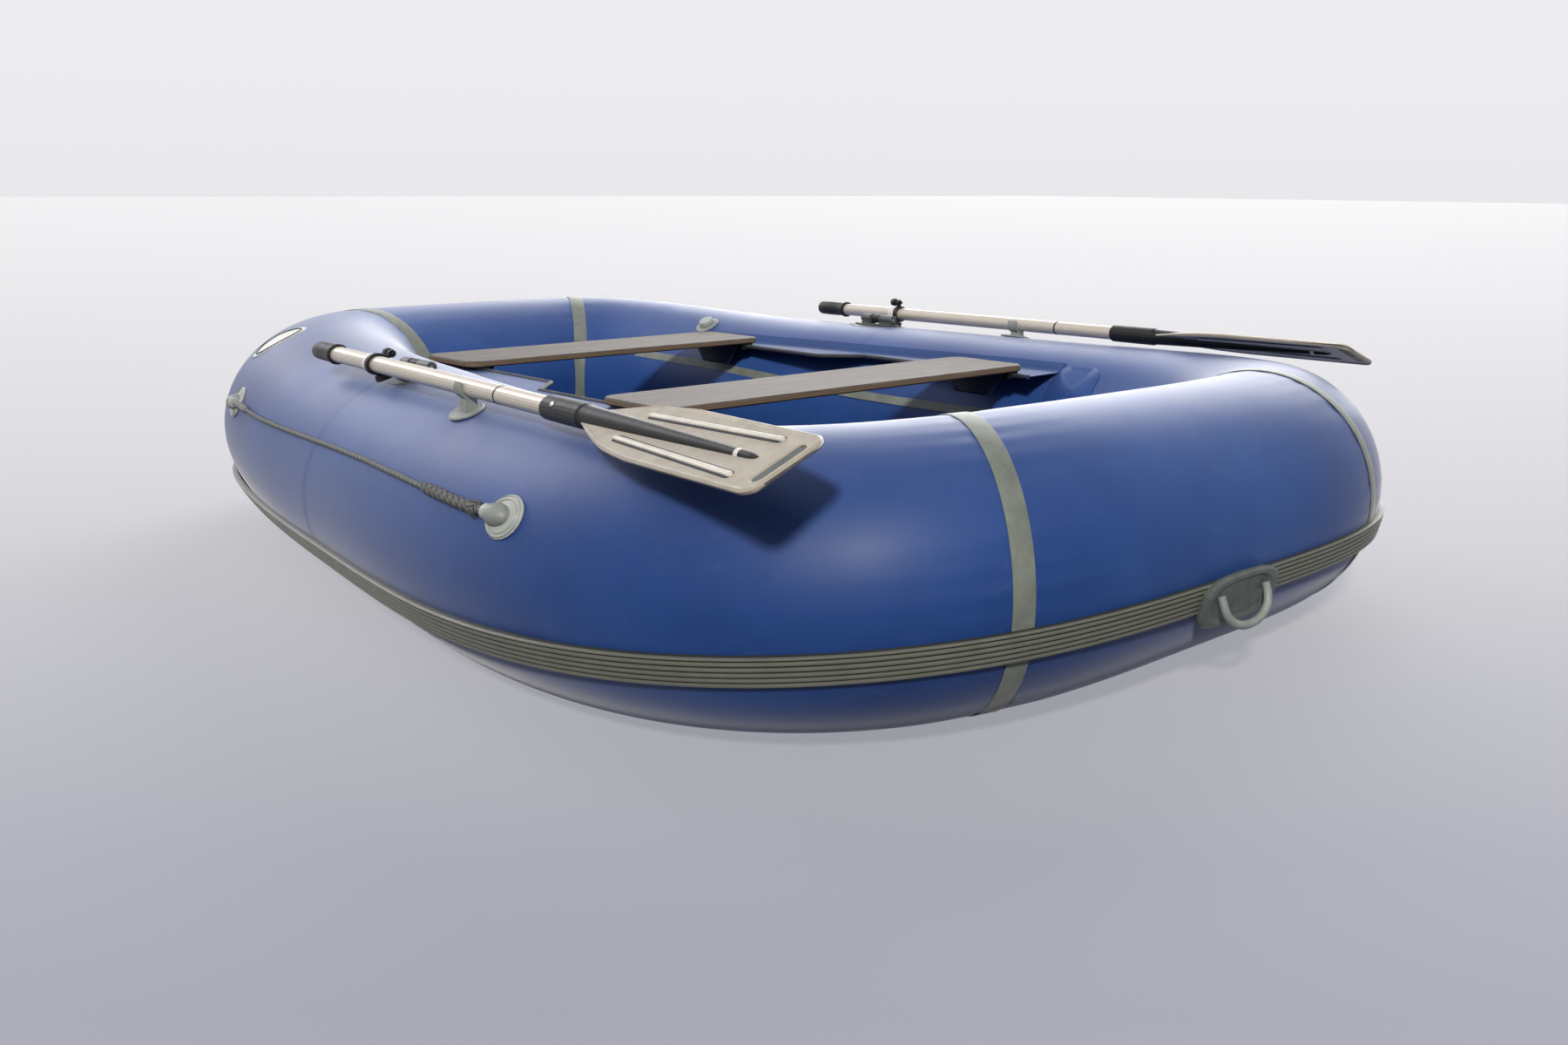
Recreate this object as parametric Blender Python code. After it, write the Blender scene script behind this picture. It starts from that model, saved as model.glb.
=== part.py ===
import math

import bpy
import numpy as np
from mathutils import Vector

for old in list(bpy.data.objects):
    bpy.data.objects.remove(old, do_unlink=True)

# Driving dimensions, in metres and degrees. Bow is +X, port is +Y, the floor is z = 0.
TUBE_R = 0.19
SIDES = 32
HALF_LENGTH = 1.055
HALF_BEAM = 0.518
TAPER = -0.26
BOW_POWER = 5.8
STERN_POWER = 3.35
BOW_RISE = 0.031
BOW_RISE_FROM = 0.15
STERN_RISE = 0.025
STERN_RISE_FROM = 0.35
GAP = 0.0003
TAPE_HALF = 0.015
SEAM_ZONE = 0.024
TAPE_T = 0.0008
BOW_SEAM = 0.2508
STERN_SEAM_FROM_END = 0.3237
STRAKE_IN = TUBE_R + 0.0017
STRAKE_T = 0.0085
STRAKE_JOINT_X = 0.30
FLOOR_IN = TUBE_R + 0.0016
FLOOR_T = 0.0010

# Thwarts and the beaded rails that carry them.
SEAT_T = 0.012
SEAT_TOP = 0.354
SEAT_W = 0.200
RAIL_Z = 0.3355
BEAD_R = 0.0038
FLAP_T = 0.0014
GROOVE_W = 0.024
GROOVE_H = 0.0125
GROOVE_R = 0.0043
BOW_SEAT_X = 0.455
BOW_SEAT_HALF = 0.324
BOW_RAIL_Y = 0.293
AFT_SEAT_X = -0.325
AFT_SEAT_HALF = 0.385
AFT_RAIL_Y = 0.355
RAIL_BOW_END = BOW_SEAT_X + 0.105
RAIL_AFT_END = AFT_SEAT_X - 0.135
RAIL_JOG_BOW = 0.105
RAIL_JOG_AFT = 0.025

# Oars, stowed along the side tubes. Distances run aft from the end of the grip.
# Each side's grip end lies at its own x and y, and each oar has its own splay and blade roll.
OAR_Z = 0.401
PORT_GRIP = (0.335, 0.593)
PORT_SPLAY = 0.056
PORT_ROLL = math.radians(25)
STARBOARD_GRIP = (0.455, 0.567)
STARBOARD_SPLAY = 0.036
STARBOARD_ROLL = math.radians(22)
SHAFT_R = 0.0135
PIVOT_D = 0.273
CLIP_D = 0.643
SHAFT_JOINT_D = 0.760
BLADE_D = 1.028
SOCKET_LONG = 0.116
SOCKET_D = BLADE_D - SOCKET_LONG
SHAFT_END = BLADE_D - 0.025
OAR_LENGTH = 1.485
BLADE_HALF = 0.056

# Rowlock: hinge barrel along X, swing pivot leaning outboard.
BARREL_OFF = 0.063
BARREL_Z = 0.3945
BARREL_R = 0.0095
PIN_R = 0.003
BORE_R = PIN_R + GAP
LEAN = math.radians(17)
CLASP_IN = SHAFT_R + 0.0004
CLASP_OUT = 0.018
STEM_R = 0.004
STEM_BORE = STEM_R + GAP
KNOB_OFF = 0.0268
SCREW_R = 0.0025

# Lifeline on the port side.
ROPE_R = 0.004
ROPE_THICK = 0.0066


def material(name, colour, rough, metal):
    mat = bpy.data.materials.new(name)
    mat.use_nodes = True
    node = mat.node_tree.nodes["Principled BSDF"]
    node.inputs["Base Color"].default_value = (*colour, 1)
    node.inputs["Roughness"].default_value = rough
    node.inputs["Metallic"].default_value = metal
    mat.diffuse_color = (*colour, 1)
    return mat


BLUE = ((0.022, 0.085, 0.30), 0.42, 0)
NAVY = ((0.012, 0.018, 0.045), 0.60, 0)
GREY = ((0.16, 0.17, 0.17), 0.55, 0)
TAPE = ((0.17, 0.18, 0.19), 0.55, 0)
PALE = ((0.42, 0.46, 0.45), 0.5, 0)
BLACK = ((0.015, 0.015, 0.016), 0.5, 0)
WOOD = ((0.22, 0.18, 0.14), 0.75, 0)
METAL = ((0.60, 0.61, 0.62), 0.32, 1)
WHITE = ((0.72, 0.73, 0.72), 0.45, 0)
BEIGE = ((0.36, 0.34, 0.29), 0.55, 0)
CORD = ((0.07, 0.07, 0.075), 0.85, 0)


def make(name, points, faces, look, origin=(0, 0, 0), side=1, smooth=40):
    """One named solid. On the starboard side the points are mirrored and the faces turned back."""
    points = [(p[0], side * p[1], p[2]) for p in points]
    if side < 0:
        faces = [tuple(reversed(f)) for f in faces]
    mesh = bpy.data.meshes.new(name)
    shifted = [tuple(Vector(p) - Vector(origin)) for p in points]
    mesh.from_pydata(shifted, [], [tuple(f) for f in faces])
    mesh.validate()
    obj = bpy.data.objects.new(name, mesh)
    obj.location = origin
    bpy.context.scene.collection.objects.link(obj)
    mesh.materials.append(material(name, *look))
    if smooth:
        mesh.shade_smooth()
        mesh.set_sharp_from_angle(angle=math.radians(smooth))
    return obj


def combine(obj, others, operation):
    """Booleans helper solids into obj, bakes the result and removes the helpers."""
    for other in others:
        mod = obj.modifiers.new(operation.lower(), "BOOLEAN")
        mod.operation = operation
        mod.solver = "EXACT"
        mod.object = other
    bpy.context.view_layer.update()
    graph = bpy.context.evaluated_depsgraph_get()
    baked = bpy.data.meshes.new_from_object(obj.evaluated_get(graph))
    obj.modifiers.clear()
    obj.data = baked
    look = baked.materials[0]
    baked.materials.clear()
    baked.materials.append(look)
    for poly in baked.polygons:
        poly.material_index = 0
    baked.set_sharp_from_angle(angle=math.radians(38))
    for other in others:
        bpy.data.objects.remove(other, do_unlink=True)
    return obj


# Centreline of the tube ring: bow centre to stern centre along the port side.
def plan(a):
    c = math.cos(a)
    power = BOW_POWER if c >= 0 else STERN_POWER
    x = HALF_LENGTH * math.copysign(abs(c) ** (2 / power), c)
    y = HALF_BEAM * abs(math.sin(a)) ** (2 / power) * (1 + TAPER * x / HALF_LENGTH)
    return x, y


def plan_angles():
    angles = set(float(v) for v in np.linspace(0, math.pi, 1500))
    for t in np.linspace(0.001, 0.98, 900):
        angles.add(math.acos(float(t) ** (BOW_POWER / 2)))
        angles.add(math.acos(-float(t) ** (STERN_POWER / 2)))
    return sorted(angles)


def height(x):
    u = x / HALF_LENGTH
    rise, start = (BOW_RISE, BOW_RISE_FROM) if u >= 0 else (STERN_RISE, STERN_RISE_FROM)
    lift = max(0.0, (abs(u) - start) / (1 - start))
    return TUBE_R * math.cos(math.pi / SIDES) + rise * lift * lift


FINE = np.array([plan(a) for a in plan_angles()])
FINE[0, 1] = 0
FINE[-1, 1] = 0
LONG = np.concatenate([[0], np.cumsum(np.hypot(*np.diff(FINE, axis=0).T))])
END = float(LONG[-1])
STERN_SEAM = END - STERN_SEAM_FROM_END


def centre(s):
    """The centreline point at s, which runs on past the bow and the stern onto the starboard side."""
    a = abs(s) if s < END else 2 * END - s
    side = -1 if s < 0 or s > END else 1
    return np.array([np.interp(a, LONG, FINE[:, 0]), side * np.interp(a, LONG, FINE[:, 1])])


def outward(s):
    """Sideways direction of the section at s. The wide chord keeps sections from crossing in the corners."""
    t = centre(s + 0.10) - centre(s - 0.10)
    t = t / np.hypot(*t)
    return np.array([t[1], -t[0]])


def stations():
    """Distances along the port half at which the tube has a section, closer together in the corners."""
    fine = np.linspace(0, END, 700)
    normals = np.array([outward(s) for s in fine])
    turn = np.abs(np.diff(np.unwrap(np.arctan2(normals[:, 1], normals[:, 0]))))
    cost = np.concatenate([[0], np.cumsum(np.diff(fine) + 0.34 * turn)])
    fixed = [0, BOW_SEAM - SEAM_ZONE, BOW_SEAM, BOW_SEAM + SEAM_ZONE]
    fixed += [STERN_SEAM - SEAM_ZONE, STERN_SEAM, STERN_SEAM + SEAM_ZONE, END]
    found = []
    for low, high in zip(fixed, fixed[1:]):
        c0, c1 = np.interp([low, high], fine, cost)
        count = max(1, round((c1 - c0) / 0.125))
        if high - low < 0.03:
            count = 1
        found += [float(np.interp(c, cost, fine)) for c in np.linspace(c0, c1, count + 1)[:-1]]
    return found + [END]


STATIONS = stations()
for fixedS in (BOW_SEAM, BOW_SEAM + SEAM_ZONE, STERN_SEAM, STERN_SEAM + SEAM_ZONE):
    nearest = min(range(len(STATIONS)), key=lambda i: abs(STATIONS[i] - fixedS))
    STATIONS[nearest] = fixedS
FRAME_C = np.array([centre(s) for s in STATIONS])
FRAME_N = np.array([outward(s) for s in STATIONS])
FRAME_Z = np.array([height(c[0]) for c in FRAME_C])


def on_section(s, out, up):
    """The point at out and up from the centreline, in the section at s. s below 0 is the starboard side."""
    a = abs(s)
    cx = np.interp(a, STATIONS, FRAME_C[:, 0]) + out * np.interp(a, STATIONS, FRAME_N[:, 0])
    cy = np.interp(a, STATIONS, FRAME_C[:, 1]) + out * np.interp(a, STATIONS, FRAME_N[:, 1])
    return (float(cx), float(cy) if s >= 0 else -float(cy), float(np.interp(a, STATIONS, FRAME_Z)) + up)


def skin(s, degrees, r):
    """A point at radius r from the tube's axis. Degrees run from 0 outboard over 90 on top to 180 inboard."""
    t = math.radians(degrees)
    return on_section(s, r * math.cos(t), r * math.sin(t))


def s_at_x(x):
    return float(np.interp(-x, -FINE[:, 0], LONG))


def between(low, high):
    """Stations from low to high, either of which may be below 0, for the starboard side."""
    every = sorted(set([-s for s in STATIONS] + STATIONS))
    return [low] + [s for s in every if low + 0.002 < s < high - 0.002] + [high]


def sweep(name, places, profile, look, side=1, closed=False, smooth=40):
    """A solid through one section per place. profile(s) gives its (degrees, r) or points."""
    points = []
    for s in places:
        for item in profile(s):
            points.append(item if len(item) == 3 else skin(s, *item))
    n = len(profile(places[0]))
    m = len(places)
    faces = []
    for i in range(m if closed else m - 1):
        j = (i + 1) % m
        for k in range(n):
            l = (k + 1) % n
            faces.append((i * n + k, i * n + l, j * n + l, j * n + k))
    if not closed:
        faces.append(tuple(range(n - 1, -1, -1)))
        faces.append(tuple((m - 1) * n + k for k in range(n)))
    return make(name, points, orient(points, faces), look, side=side, smooth=smooth)


def orient(points, faces):
    """Turns every face round if the solid is inside out."""
    volume = 0.0
    for f in faces:
        a = np.array(points[f[0]])
        for b, c in zip(f[1:], f[2:]):
            volume += float(np.dot(a, np.cross(np.array(points[b]), np.array(points[c]))))
    return faces if volume > 0 else [tuple(reversed(f)) for f in faces]


FACETS = [-90 + 180 / SIDES + 360 / SIDES * k for k in range(SIDES)]


def tube(name, low, high, side=1):
    return sweep(name, between(low, high), lambda s: [(a, TUBE_R) for a in FACETS], BLUE, side, smooth=50)


half = GAP / 2
tube("tube_bow", -BOW_SEAM + half, BOW_SEAM - half)
tube("tube_port", BOW_SEAM + half, STERN_SEAM - half)
tube("tube_starboard", BOW_SEAM + half, STERN_SEAM - half, side=-1)


def through_stern(low):
    """Stations from low on the port side round the stern to the same place on the starboard side."""
    port = [low] + [s for s in STATIONS if s > low + 0.002]
    return port + [-s for s in reversed(port[:-1])]


tubePlaces = through_stern(STERN_SEAM + half)
sweep("tube_stern", tubePlaces, lambda s: [(a, TUBE_R) for a in FACETS], BLUE, smooth=50)


# Seam tapes: a full ring of tape over each joint between two tube segments.
def ring(name, seam, side):
    low = TUBE_R + GAP
    high = low + TAPE_T

    def reach(a, way):
        far = np.array(skin(seam + way * SEAM_ZONE, a, low)) - np.array(skin(seam, a, low))
        return min(1.0, TAPE_HALF / float(np.linalg.norm(far))) * way * SEAM_ZONE

    points = []
    for way in (-1, 0, 1):
        for r in (low, high):
            points += [skin(seam + (reach(a, way) if way else 0), a, r) for a in FACETS]
    n = SIDES
    faces = []
    for i in range(2):
        for k in range(n):
            l = (k + 1) % n
            a, b = i * 2 * n, (i + 1) * 2 * n
            faces.append((a + k, b + k, b + l, a + l))
            faces.append((a + n + k, a + n + l, b + n + l, b + n + k))
    for k in range(n):
        l = (k + 1) % n
        faces.append((k, l, n + l, n + k))
        e = 4 * n
        faces.append((e + k, e + n + k, e + n + l, e + l))
    make(name, points, orient(points, faces), TAPE, side=side, smooth=50)


ring("seam_tape_bow_port", BOW_SEAM, 1)
ring("seam_tape_bow_starboard", BOW_SEAM, -1)
ring("seam_tape_stern_port", STERN_SEAM, 1)
ring("seam_tape_stern_starboard", STERN_SEAM, -1)


# Rubbing strake: a moulded strip with six ribs between five grooves.
def strake_profile(s):
    x = on_section(s, 0, 0)[0]
    top = math.degrees(-0.36 - 0.15 * x)
    low = math.degrees(-0.567 - 0.15 * x)
    span = top - low
    found = [(low, STRAKE_IN), (low - 0.2, STRAKE_IN + STRAKE_T * 0.72)]
    for k in range(5):
        a = low + span * (k + 0.55) / 5.6
        b = low + span * (k + 1.0) / 5.6
        found.append((a, STRAKE_IN + STRAKE_T))
        found.append((b, STRAKE_IN + STRAKE_T * 0.72))
    found.append((top - span * 0.06, STRAKE_IN + STRAKE_T))
    found.append((top, STRAKE_IN + STRAKE_T * 0.6))
    found.append((top, STRAKE_IN))
    found.append(((top + low) / 2, STRAKE_IN))
    return found


strakeJoint = s_at_x(STRAKE_JOINT_X)
sweep("strake_bow", between(-strakeJoint + half, strakeJoint - half), strake_profile, GREY, smooth=30)
sweep("strake_stern", through_stern(strakeJoint + half), strake_profile, GREY, smooth=30)


# Lengthwise seam tape on the inner wall of each side tube.
def inner_tape(name, side):
    def profile(s):
        x = on_section(s, 0, 0)[0]
        mid = float(np.interp(x, [-0.9, 0, 0.5, 0.82], [164, 160, 152, 151]))
        low, high = TUBE_R + 2 * GAP, TUBE_R + 2 * GAP + 0.0007
        return [(mid - 2.6, low), (mid - 2.6, high), (mid + 2.6, high), (mid + 2.6, low)]

    sweep(name, between(s_at_x(0.78), STERN_SEAM - 0.06), profile, TAPE, side)


inner_tape("inner_tape_port", 1)
inner_tape("inner_tape_starboard", -1)


# Floor: one sheet between the tubes, its rim bent round under them, and the tape over that rim.
def floor_skin():
    whole = STATIONS + [-s for s in reversed(STATIONS[1:-1])]
    m = len(whole)
    degs = [-103, -107.5, -112]
    points = []
    for s in whole:
        points += [skin(s, d, FLOOR_IN) for d in degs]
        points += [skin(s, d, FLOOR_IN + FLOOR_T) for d in degs]
    faces = []
    for i in range(m):
        j = (i + 1) % m
        for k in range(2):
            faces.append((i * 6 + k, i * 6 + k + 1, j * 6 + k + 1, j * 6 + k))
            faces.append((i * 6 + 3 + k, j * 6 + 3 + k, j * 6 + 4 + k, i * 6 + 4 + k))
        faces.append((i * 6, j * 6, j * 6 + 3, i * 6 + 3))
    h = len(STATIONS)
    for i in range(h - 1):
        a, b = i, i + 1
        c, d = (m - i - 1) % m, (m - i) % m
        for k, turn in ((2, False), (5, True)):
            quad = [a * 6 + k, b * 6 + k, c * 6 + k, d * 6 + k]
            loop = []
            for v in quad:
                if v not in loop:
                    loop.append(v)
            faces.append(tuple(reversed(loop)) if turn else tuple(loop))
    return make("floor", points, consistent(points, faces), NAVY, smooth=30)


def consistent(points, faces):
    """Makes all the faces of one closed solid face the same way, outward."""
    edges = {}
    for index, f in enumerate(faces):
        for a, b in zip(f, f[1:] + f[:1]):
            edges.setdefault((min(a, b), max(a, b)), []).append(index)
    seen = {0}
    todo = [0]
    faces = list(faces)
    while todo:
        here = todo.pop()
        f = faces[here]
        for a, b in zip(f, f[1:] + f[:1]):
            for other in edges[(min(a, b), max(a, b))]:
                if other in seen:
                    continue
                g = faces[other]
                if (a, b) in list(zip(g, g[1:] + g[:1])):
                    faces[other] = tuple(reversed(g))
                seen.add(other)
                todo.append(other)
    return orient(points, faces)


floor_skin()

floorOut = FLOOR_IN + FLOOR_T + GAP
floorTape = [(-103.8, floorOut + 0.0003), (-103.8, floorOut + 0.0010)]
floorTape += [(-111.2, floorOut + 0.0010), (-111.2, floorOut + 0.0003)]
everyPlace = STATIONS + [-s for s in reversed(STATIONS[1:-1])]
sweep("floor_tape", everyPlace, lambda s: floorTape, GREY, closed=True)


# Seat rails: a bead on a welded flap, parallel to X over each thwart's travel.
def rail_y(x):
    return float(np.interp(x, [RAIL_JOG_AFT, RAIL_JOG_BOW], [AFT_RAIL_Y, BOW_RAIL_Y]))


def rail(name, side):
    def reach(s):
        """How far the bead lies from the tube's axis, sideways and up, in the section at s."""
        c = on_section(s, 0, 0)
        n = np.array(on_section(s, 1, 0)) - np.array(c)
        out = -0.15
        for _ in range(12):
            out = (rail_y(c[0] + out * n[0]) - c[1]) / n[1]
        return out, RAIL_Z - c[2]

    def bead(s):
        return on_section(s, *reach(s))

    def profile(s):
        out, up = reach(s)
        t = FLAP_T / 2
        angle = math.asin(t / BEAD_R)
        found = []
        for k in range(9):
            a = angle + (2 * math.pi - 2 * angle) * k / 8
            found.append((out + BEAD_R * math.cos(a), up + BEAD_R * math.sin(a)))
        r = TUBE_R + 2 * GAP
        meet = -math.sqrt(r * r - up * up)
        foot = math.degrees(math.atan2(up, meet))
        found.append((meet - 0.0035, up - t))
        for d in (foot + 1.5, foot - 4, foot - 8):
            found.append((r * math.cos(math.radians(d)), r * math.sin(math.radians(d))))
        r2 = r + 0.0011
        for d in (foot - 8, foot - 4, foot - 1.2):
            found.append((r2 * math.cos(math.radians(d)), r2 * math.sin(math.radians(d))))
        found.append((meet - 0.0035, up + t))
        return [on_section(s, a, b) for a, b in found]

    def bend(x):
        """The section whose bead lies at x."""
        s = s_at_x(x)
        for _ in range(20):
            s += (bead(s)[0] - x) * 0.8
        return s

    places = between(bend(RAIL_BOW_END), bend(RAIL_AFT_END)) + [bend(RAIL_JOG_BOW), bend(RAIL_JOG_AFT)]
    sweep(name, sorted(places), profile, GREY, side)


rail("seat_rail_port", 1)
rail("seat_rail_starboard", -1)


# Flat rounded board: outline rings from bottom to top with eased edges.
def board(name, x, half_y, half_x, low, high, corner, ease, look, origin):
    def outline(inset):
        pts = []
        r = corner - inset
        for cx, cy, start in ((1, 1, 0), (-1, 1, 90), (-1, -1, 180), (1, -1, 270)):
            for k in range(6):
                a = math.radians(start + 90 * k / 5)
                pts.append((x + cx * (half_x - corner) + r * math.cos(a), cy * (half_y - corner) + r * math.sin(a)))
        return pts

    rings = [(ease, low), (0, low + ease), (0, high - ease), (ease, high)]
    points = []
    for inset, z in rings:
        points += [(px, py, z) for px, py in outline(inset)]
    n = 24
    faces = [tuple(range(n - 1, -1, -1)), tuple(3 * n + k for k in range(n))]
    for i in range(3):
        for k in range(n):
            l = (k + 1) % n
            faces.append((i * n + k, i * n + l, (i + 1) * n + l, (i + 1) * n + k))
    return make(name, points, orient(points, faces), look, origin=origin)


def groove_strip(name, x, rail_y_, side, origin):
    w, h = GROOVE_W / 2, GROOVE_H / 2
    slot = FLAP_T / 2 + 0.0005
    a0 = math.asin(slot / GROOVE_R)
    pts = [(w, slot), (w, h), (-w, h), (-w, -h), (w, -h), (w, -slot)]
    for k in range(9):
        a = -a0 - (2 * math.pi - 2 * a0) * k / 8
        pts.append((GROOVE_R * math.cos(a), GROOVE_R * math.sin(a)))
    mid = SEAT_TOP - SEAT_T - GAP - h
    points = []
    for px in (x - SEAT_W / 2 + 0.006, x + SEAT_W / 2 - 0.006):
        points += [(px, rail_y_ + u, mid + v) for u, v in pts]
    n = len(pts)
    faces = [tuple(range(n)), tuple(n + k for k in range(n - 1, -1, -1))]
    for k in range(n):
        l = (k + 1) % n
        faces.append((k, n + k, n + l, l))
    make(name, points, orient(points, faces), BLACK, side=side, smooth=30, origin=origin)


for seatName, seatX, halfY, railY in (
    ("bow", BOW_SEAT_X, BOW_SEAT_HALF, BOW_RAIL_Y),
    ("aft", AFT_SEAT_X, AFT_SEAT_HALF, AFT_RAIL_Y),
):
    at = (seatX, 0, SEAT_TOP - SEAT_T)
    board("thwart_" + seatName, seatX, halfY, SEAT_W / 2, SEAT_TOP - SEAT_T, SEAT_TOP, 0.028, 0.0025, WOOD, at)
    groove_strip("thwart_" + seatName + "_groove_port", seatX, railY, 1, at)
    groove_strip("thwart_" + seatName + "_groove_starboard", seatX, railY, -1, at)


# Patches that follow the tube's surface. heights gives (fraction of the radius, height) rings, rim to centre.
def patch(name, s0, degrees, a, b, under, rings, look, side=1, count=20, tilt=0.0, origin=(0, 0, 0)):
    step = np.linalg.norm(np.array(skin(s0 + 0.01, degrees, TUBE_R)) - np.array(skin(s0 - 0.01, degrees, TUBE_R))) / 0.02

    def at(u, v, r):
        return skin(s0 - u / step, degrees + math.degrees(v / TUBE_R), r)

    def loop(f, r):
        found = []
        for k in range(count):
            t = 2 * math.pi * k / count
            u, v = a * f * math.cos(t), b * f * math.sin(t)
            c, d = math.cos(tilt), math.sin(tilt)
            found.append(at(u * c - v * d, u * d + v * c, r))
        return found

    points = []
    lows = (0.5, 0.995)
    points.append(at(0, 0, TUBE_R + under))
    for f in lows:
        points += loop(f, TUBE_R + under)
    for f, h in rings[:-1]:
        points += loop(f, TUBE_R + under + h)
    points.append(at(0, 0, TUBE_R + under + rings[-1][1]))
    total = len(lows) + len(rings) - 1
    faces = []
    for k in range(count):
        l = (k + 1) % count
        faces.append((0, 1 + l, 1 + k))
        for i in range(total - 1):
            p, q = 1 + i * count, 1 + (i + 1) * count
            faces.append((p + k, p + l, q + l, q + k))
        e = 1 + (total - 1) * count
        faces.append((e + k, e + l, len(points) - 1))
    return make(name, points, orient(points, faces), look, side=side, smooth=35, origin=origin)


discS = s_at_x(0.80)
for _ in range(20):
    discS += (skin(discS, 60, TUBE_R)[0] - 0.867) * 0.8
patch("side_disc", discS, 60, 0.055, 0.055, 0.0009, [(1, 0.0006), (0.97, 0.0010), (0.5, 0.0010), (0, 0.0010)], WHITE, count=28)


# Inflation valve on the starboard tube: flanged body and screw cap.
def s_of_x(x, degrees):
    s = s_at_x(x)
    for _ in range(20):
        s += (skin(s, degrees, TUBE_R)[0] - x) * 0.8
    return s


valveS = s_of_x(0.600, 119)
valveRings = [(1, 0.001), (0.9, 0.002), (0.66, 0.0024), (0.62, 0.0055), (0, 0.0055)]
patch("valve_body", valveS, 119, 0.027, 0.027, 0.0006, valveRings, GREY, side=-1)


def lathe(name, profile, origin, axis, look, side=1, count=20, wave=None, at=(0, 0, 0), smooth=40):
    """Turns (along, r) points round the axis through origin. The first and last point may lie on the axis."""
    axis = Vector(axis).normalized()
    other = Vector((0, 0, 1)) if abs(axis.z) < 0.9 else Vector((1, 0, 0))
    e1 = axis.cross(other).normalized()
    e2 = axis.cross(e1).normalized()
    points = []
    rows = []
    for index, (t, r) in enumerate(profile):
        base = Vector(origin) + axis * t
        if r < 1e-9:
            rows.append([len(points)])
            points.append(tuple(base))
            continue
        row = []
        for k in range(count):
            a = 2 * math.pi * k / count
            rr = r * (1 + (wave[2] * math.cos(wave[1] * a) if wave and index in wave[0] else 0))
            row.append(len(points))
            points.append(tuple(base + e1 * (rr * math.cos(a)) + e2 * (rr * math.sin(a))))
        rows.append(row)
    faces = []
    loop = rows + [rows[0]] if len(rows[0]) > 1 and len(rows[-1]) > 1 else rows
    for p, q in zip(loop, loop[1:]):
        for k in range(count):
            l = (k + 1) % count
            if len(p) == 1:
                faces.append((p[0], q[k], q[l]))
            elif len(q) == 1:
                faces.append((p[k], q[0], p[l]))
            else:
                faces.append((p[k], q[k], q[l], p[l]))
    return make(name, points, orient(points, faces), look, side=side, smooth=smooth, origin=at)


capCentre = Vector(skin(valveS, 119, TUBE_R + 0.0061))
capAxis = (capCentre - Vector(skin(valveS, 119, TUBE_R))).normalized()
capAt = (capCentre.x, -capCentre.y, capCentre.z)
capProfile = [(0.0006, 0), (0.0006, 0.0155), (0.0075, 0.0150), (0.0085, 0.0135), (0.0085, 0.006), (0.0070, 0.0045), (0.0070, 0)]
lathe("valve_cap", capProfile, capCentre, capAxis, WHITE, side=-1, count=24, wave=((1, 2), 12, 0.04), at=capAt)


def prism(name, outline, low, high, frame, look, side=1, at=(0, 0, 0), smooth=30):
    """Extrudes a closed outline of (a, b) pairs from low to high. frame(t, a, b) gives the point."""
    n = len(outline)
    points = [frame(low, *p) for p in outline] + [frame(high, *p) for p in outline]
    faces = [tuple(range(n)), tuple(n + k for k in range(n - 1, -1, -1))]
    for k in range(n):
        l = (k + 1) % n
        faces.append((k, n + k, n + l, l))
    return make(name, points, orient(points, faces), look, side=side, origin=at, smooth=smooth)


def rounded_rod(name, low, high, r, origin, axis, look, side=1, count=20, ease=0.0015, at=(0, 0, 0)):
    profile = [(low, 0), (low, r - ease), (low + ease, r), (high - ease, r), (high, r - ease), (high, 0)]
    return lathe(name, profile, origin, axis, look, side, count, at=at)


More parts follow.
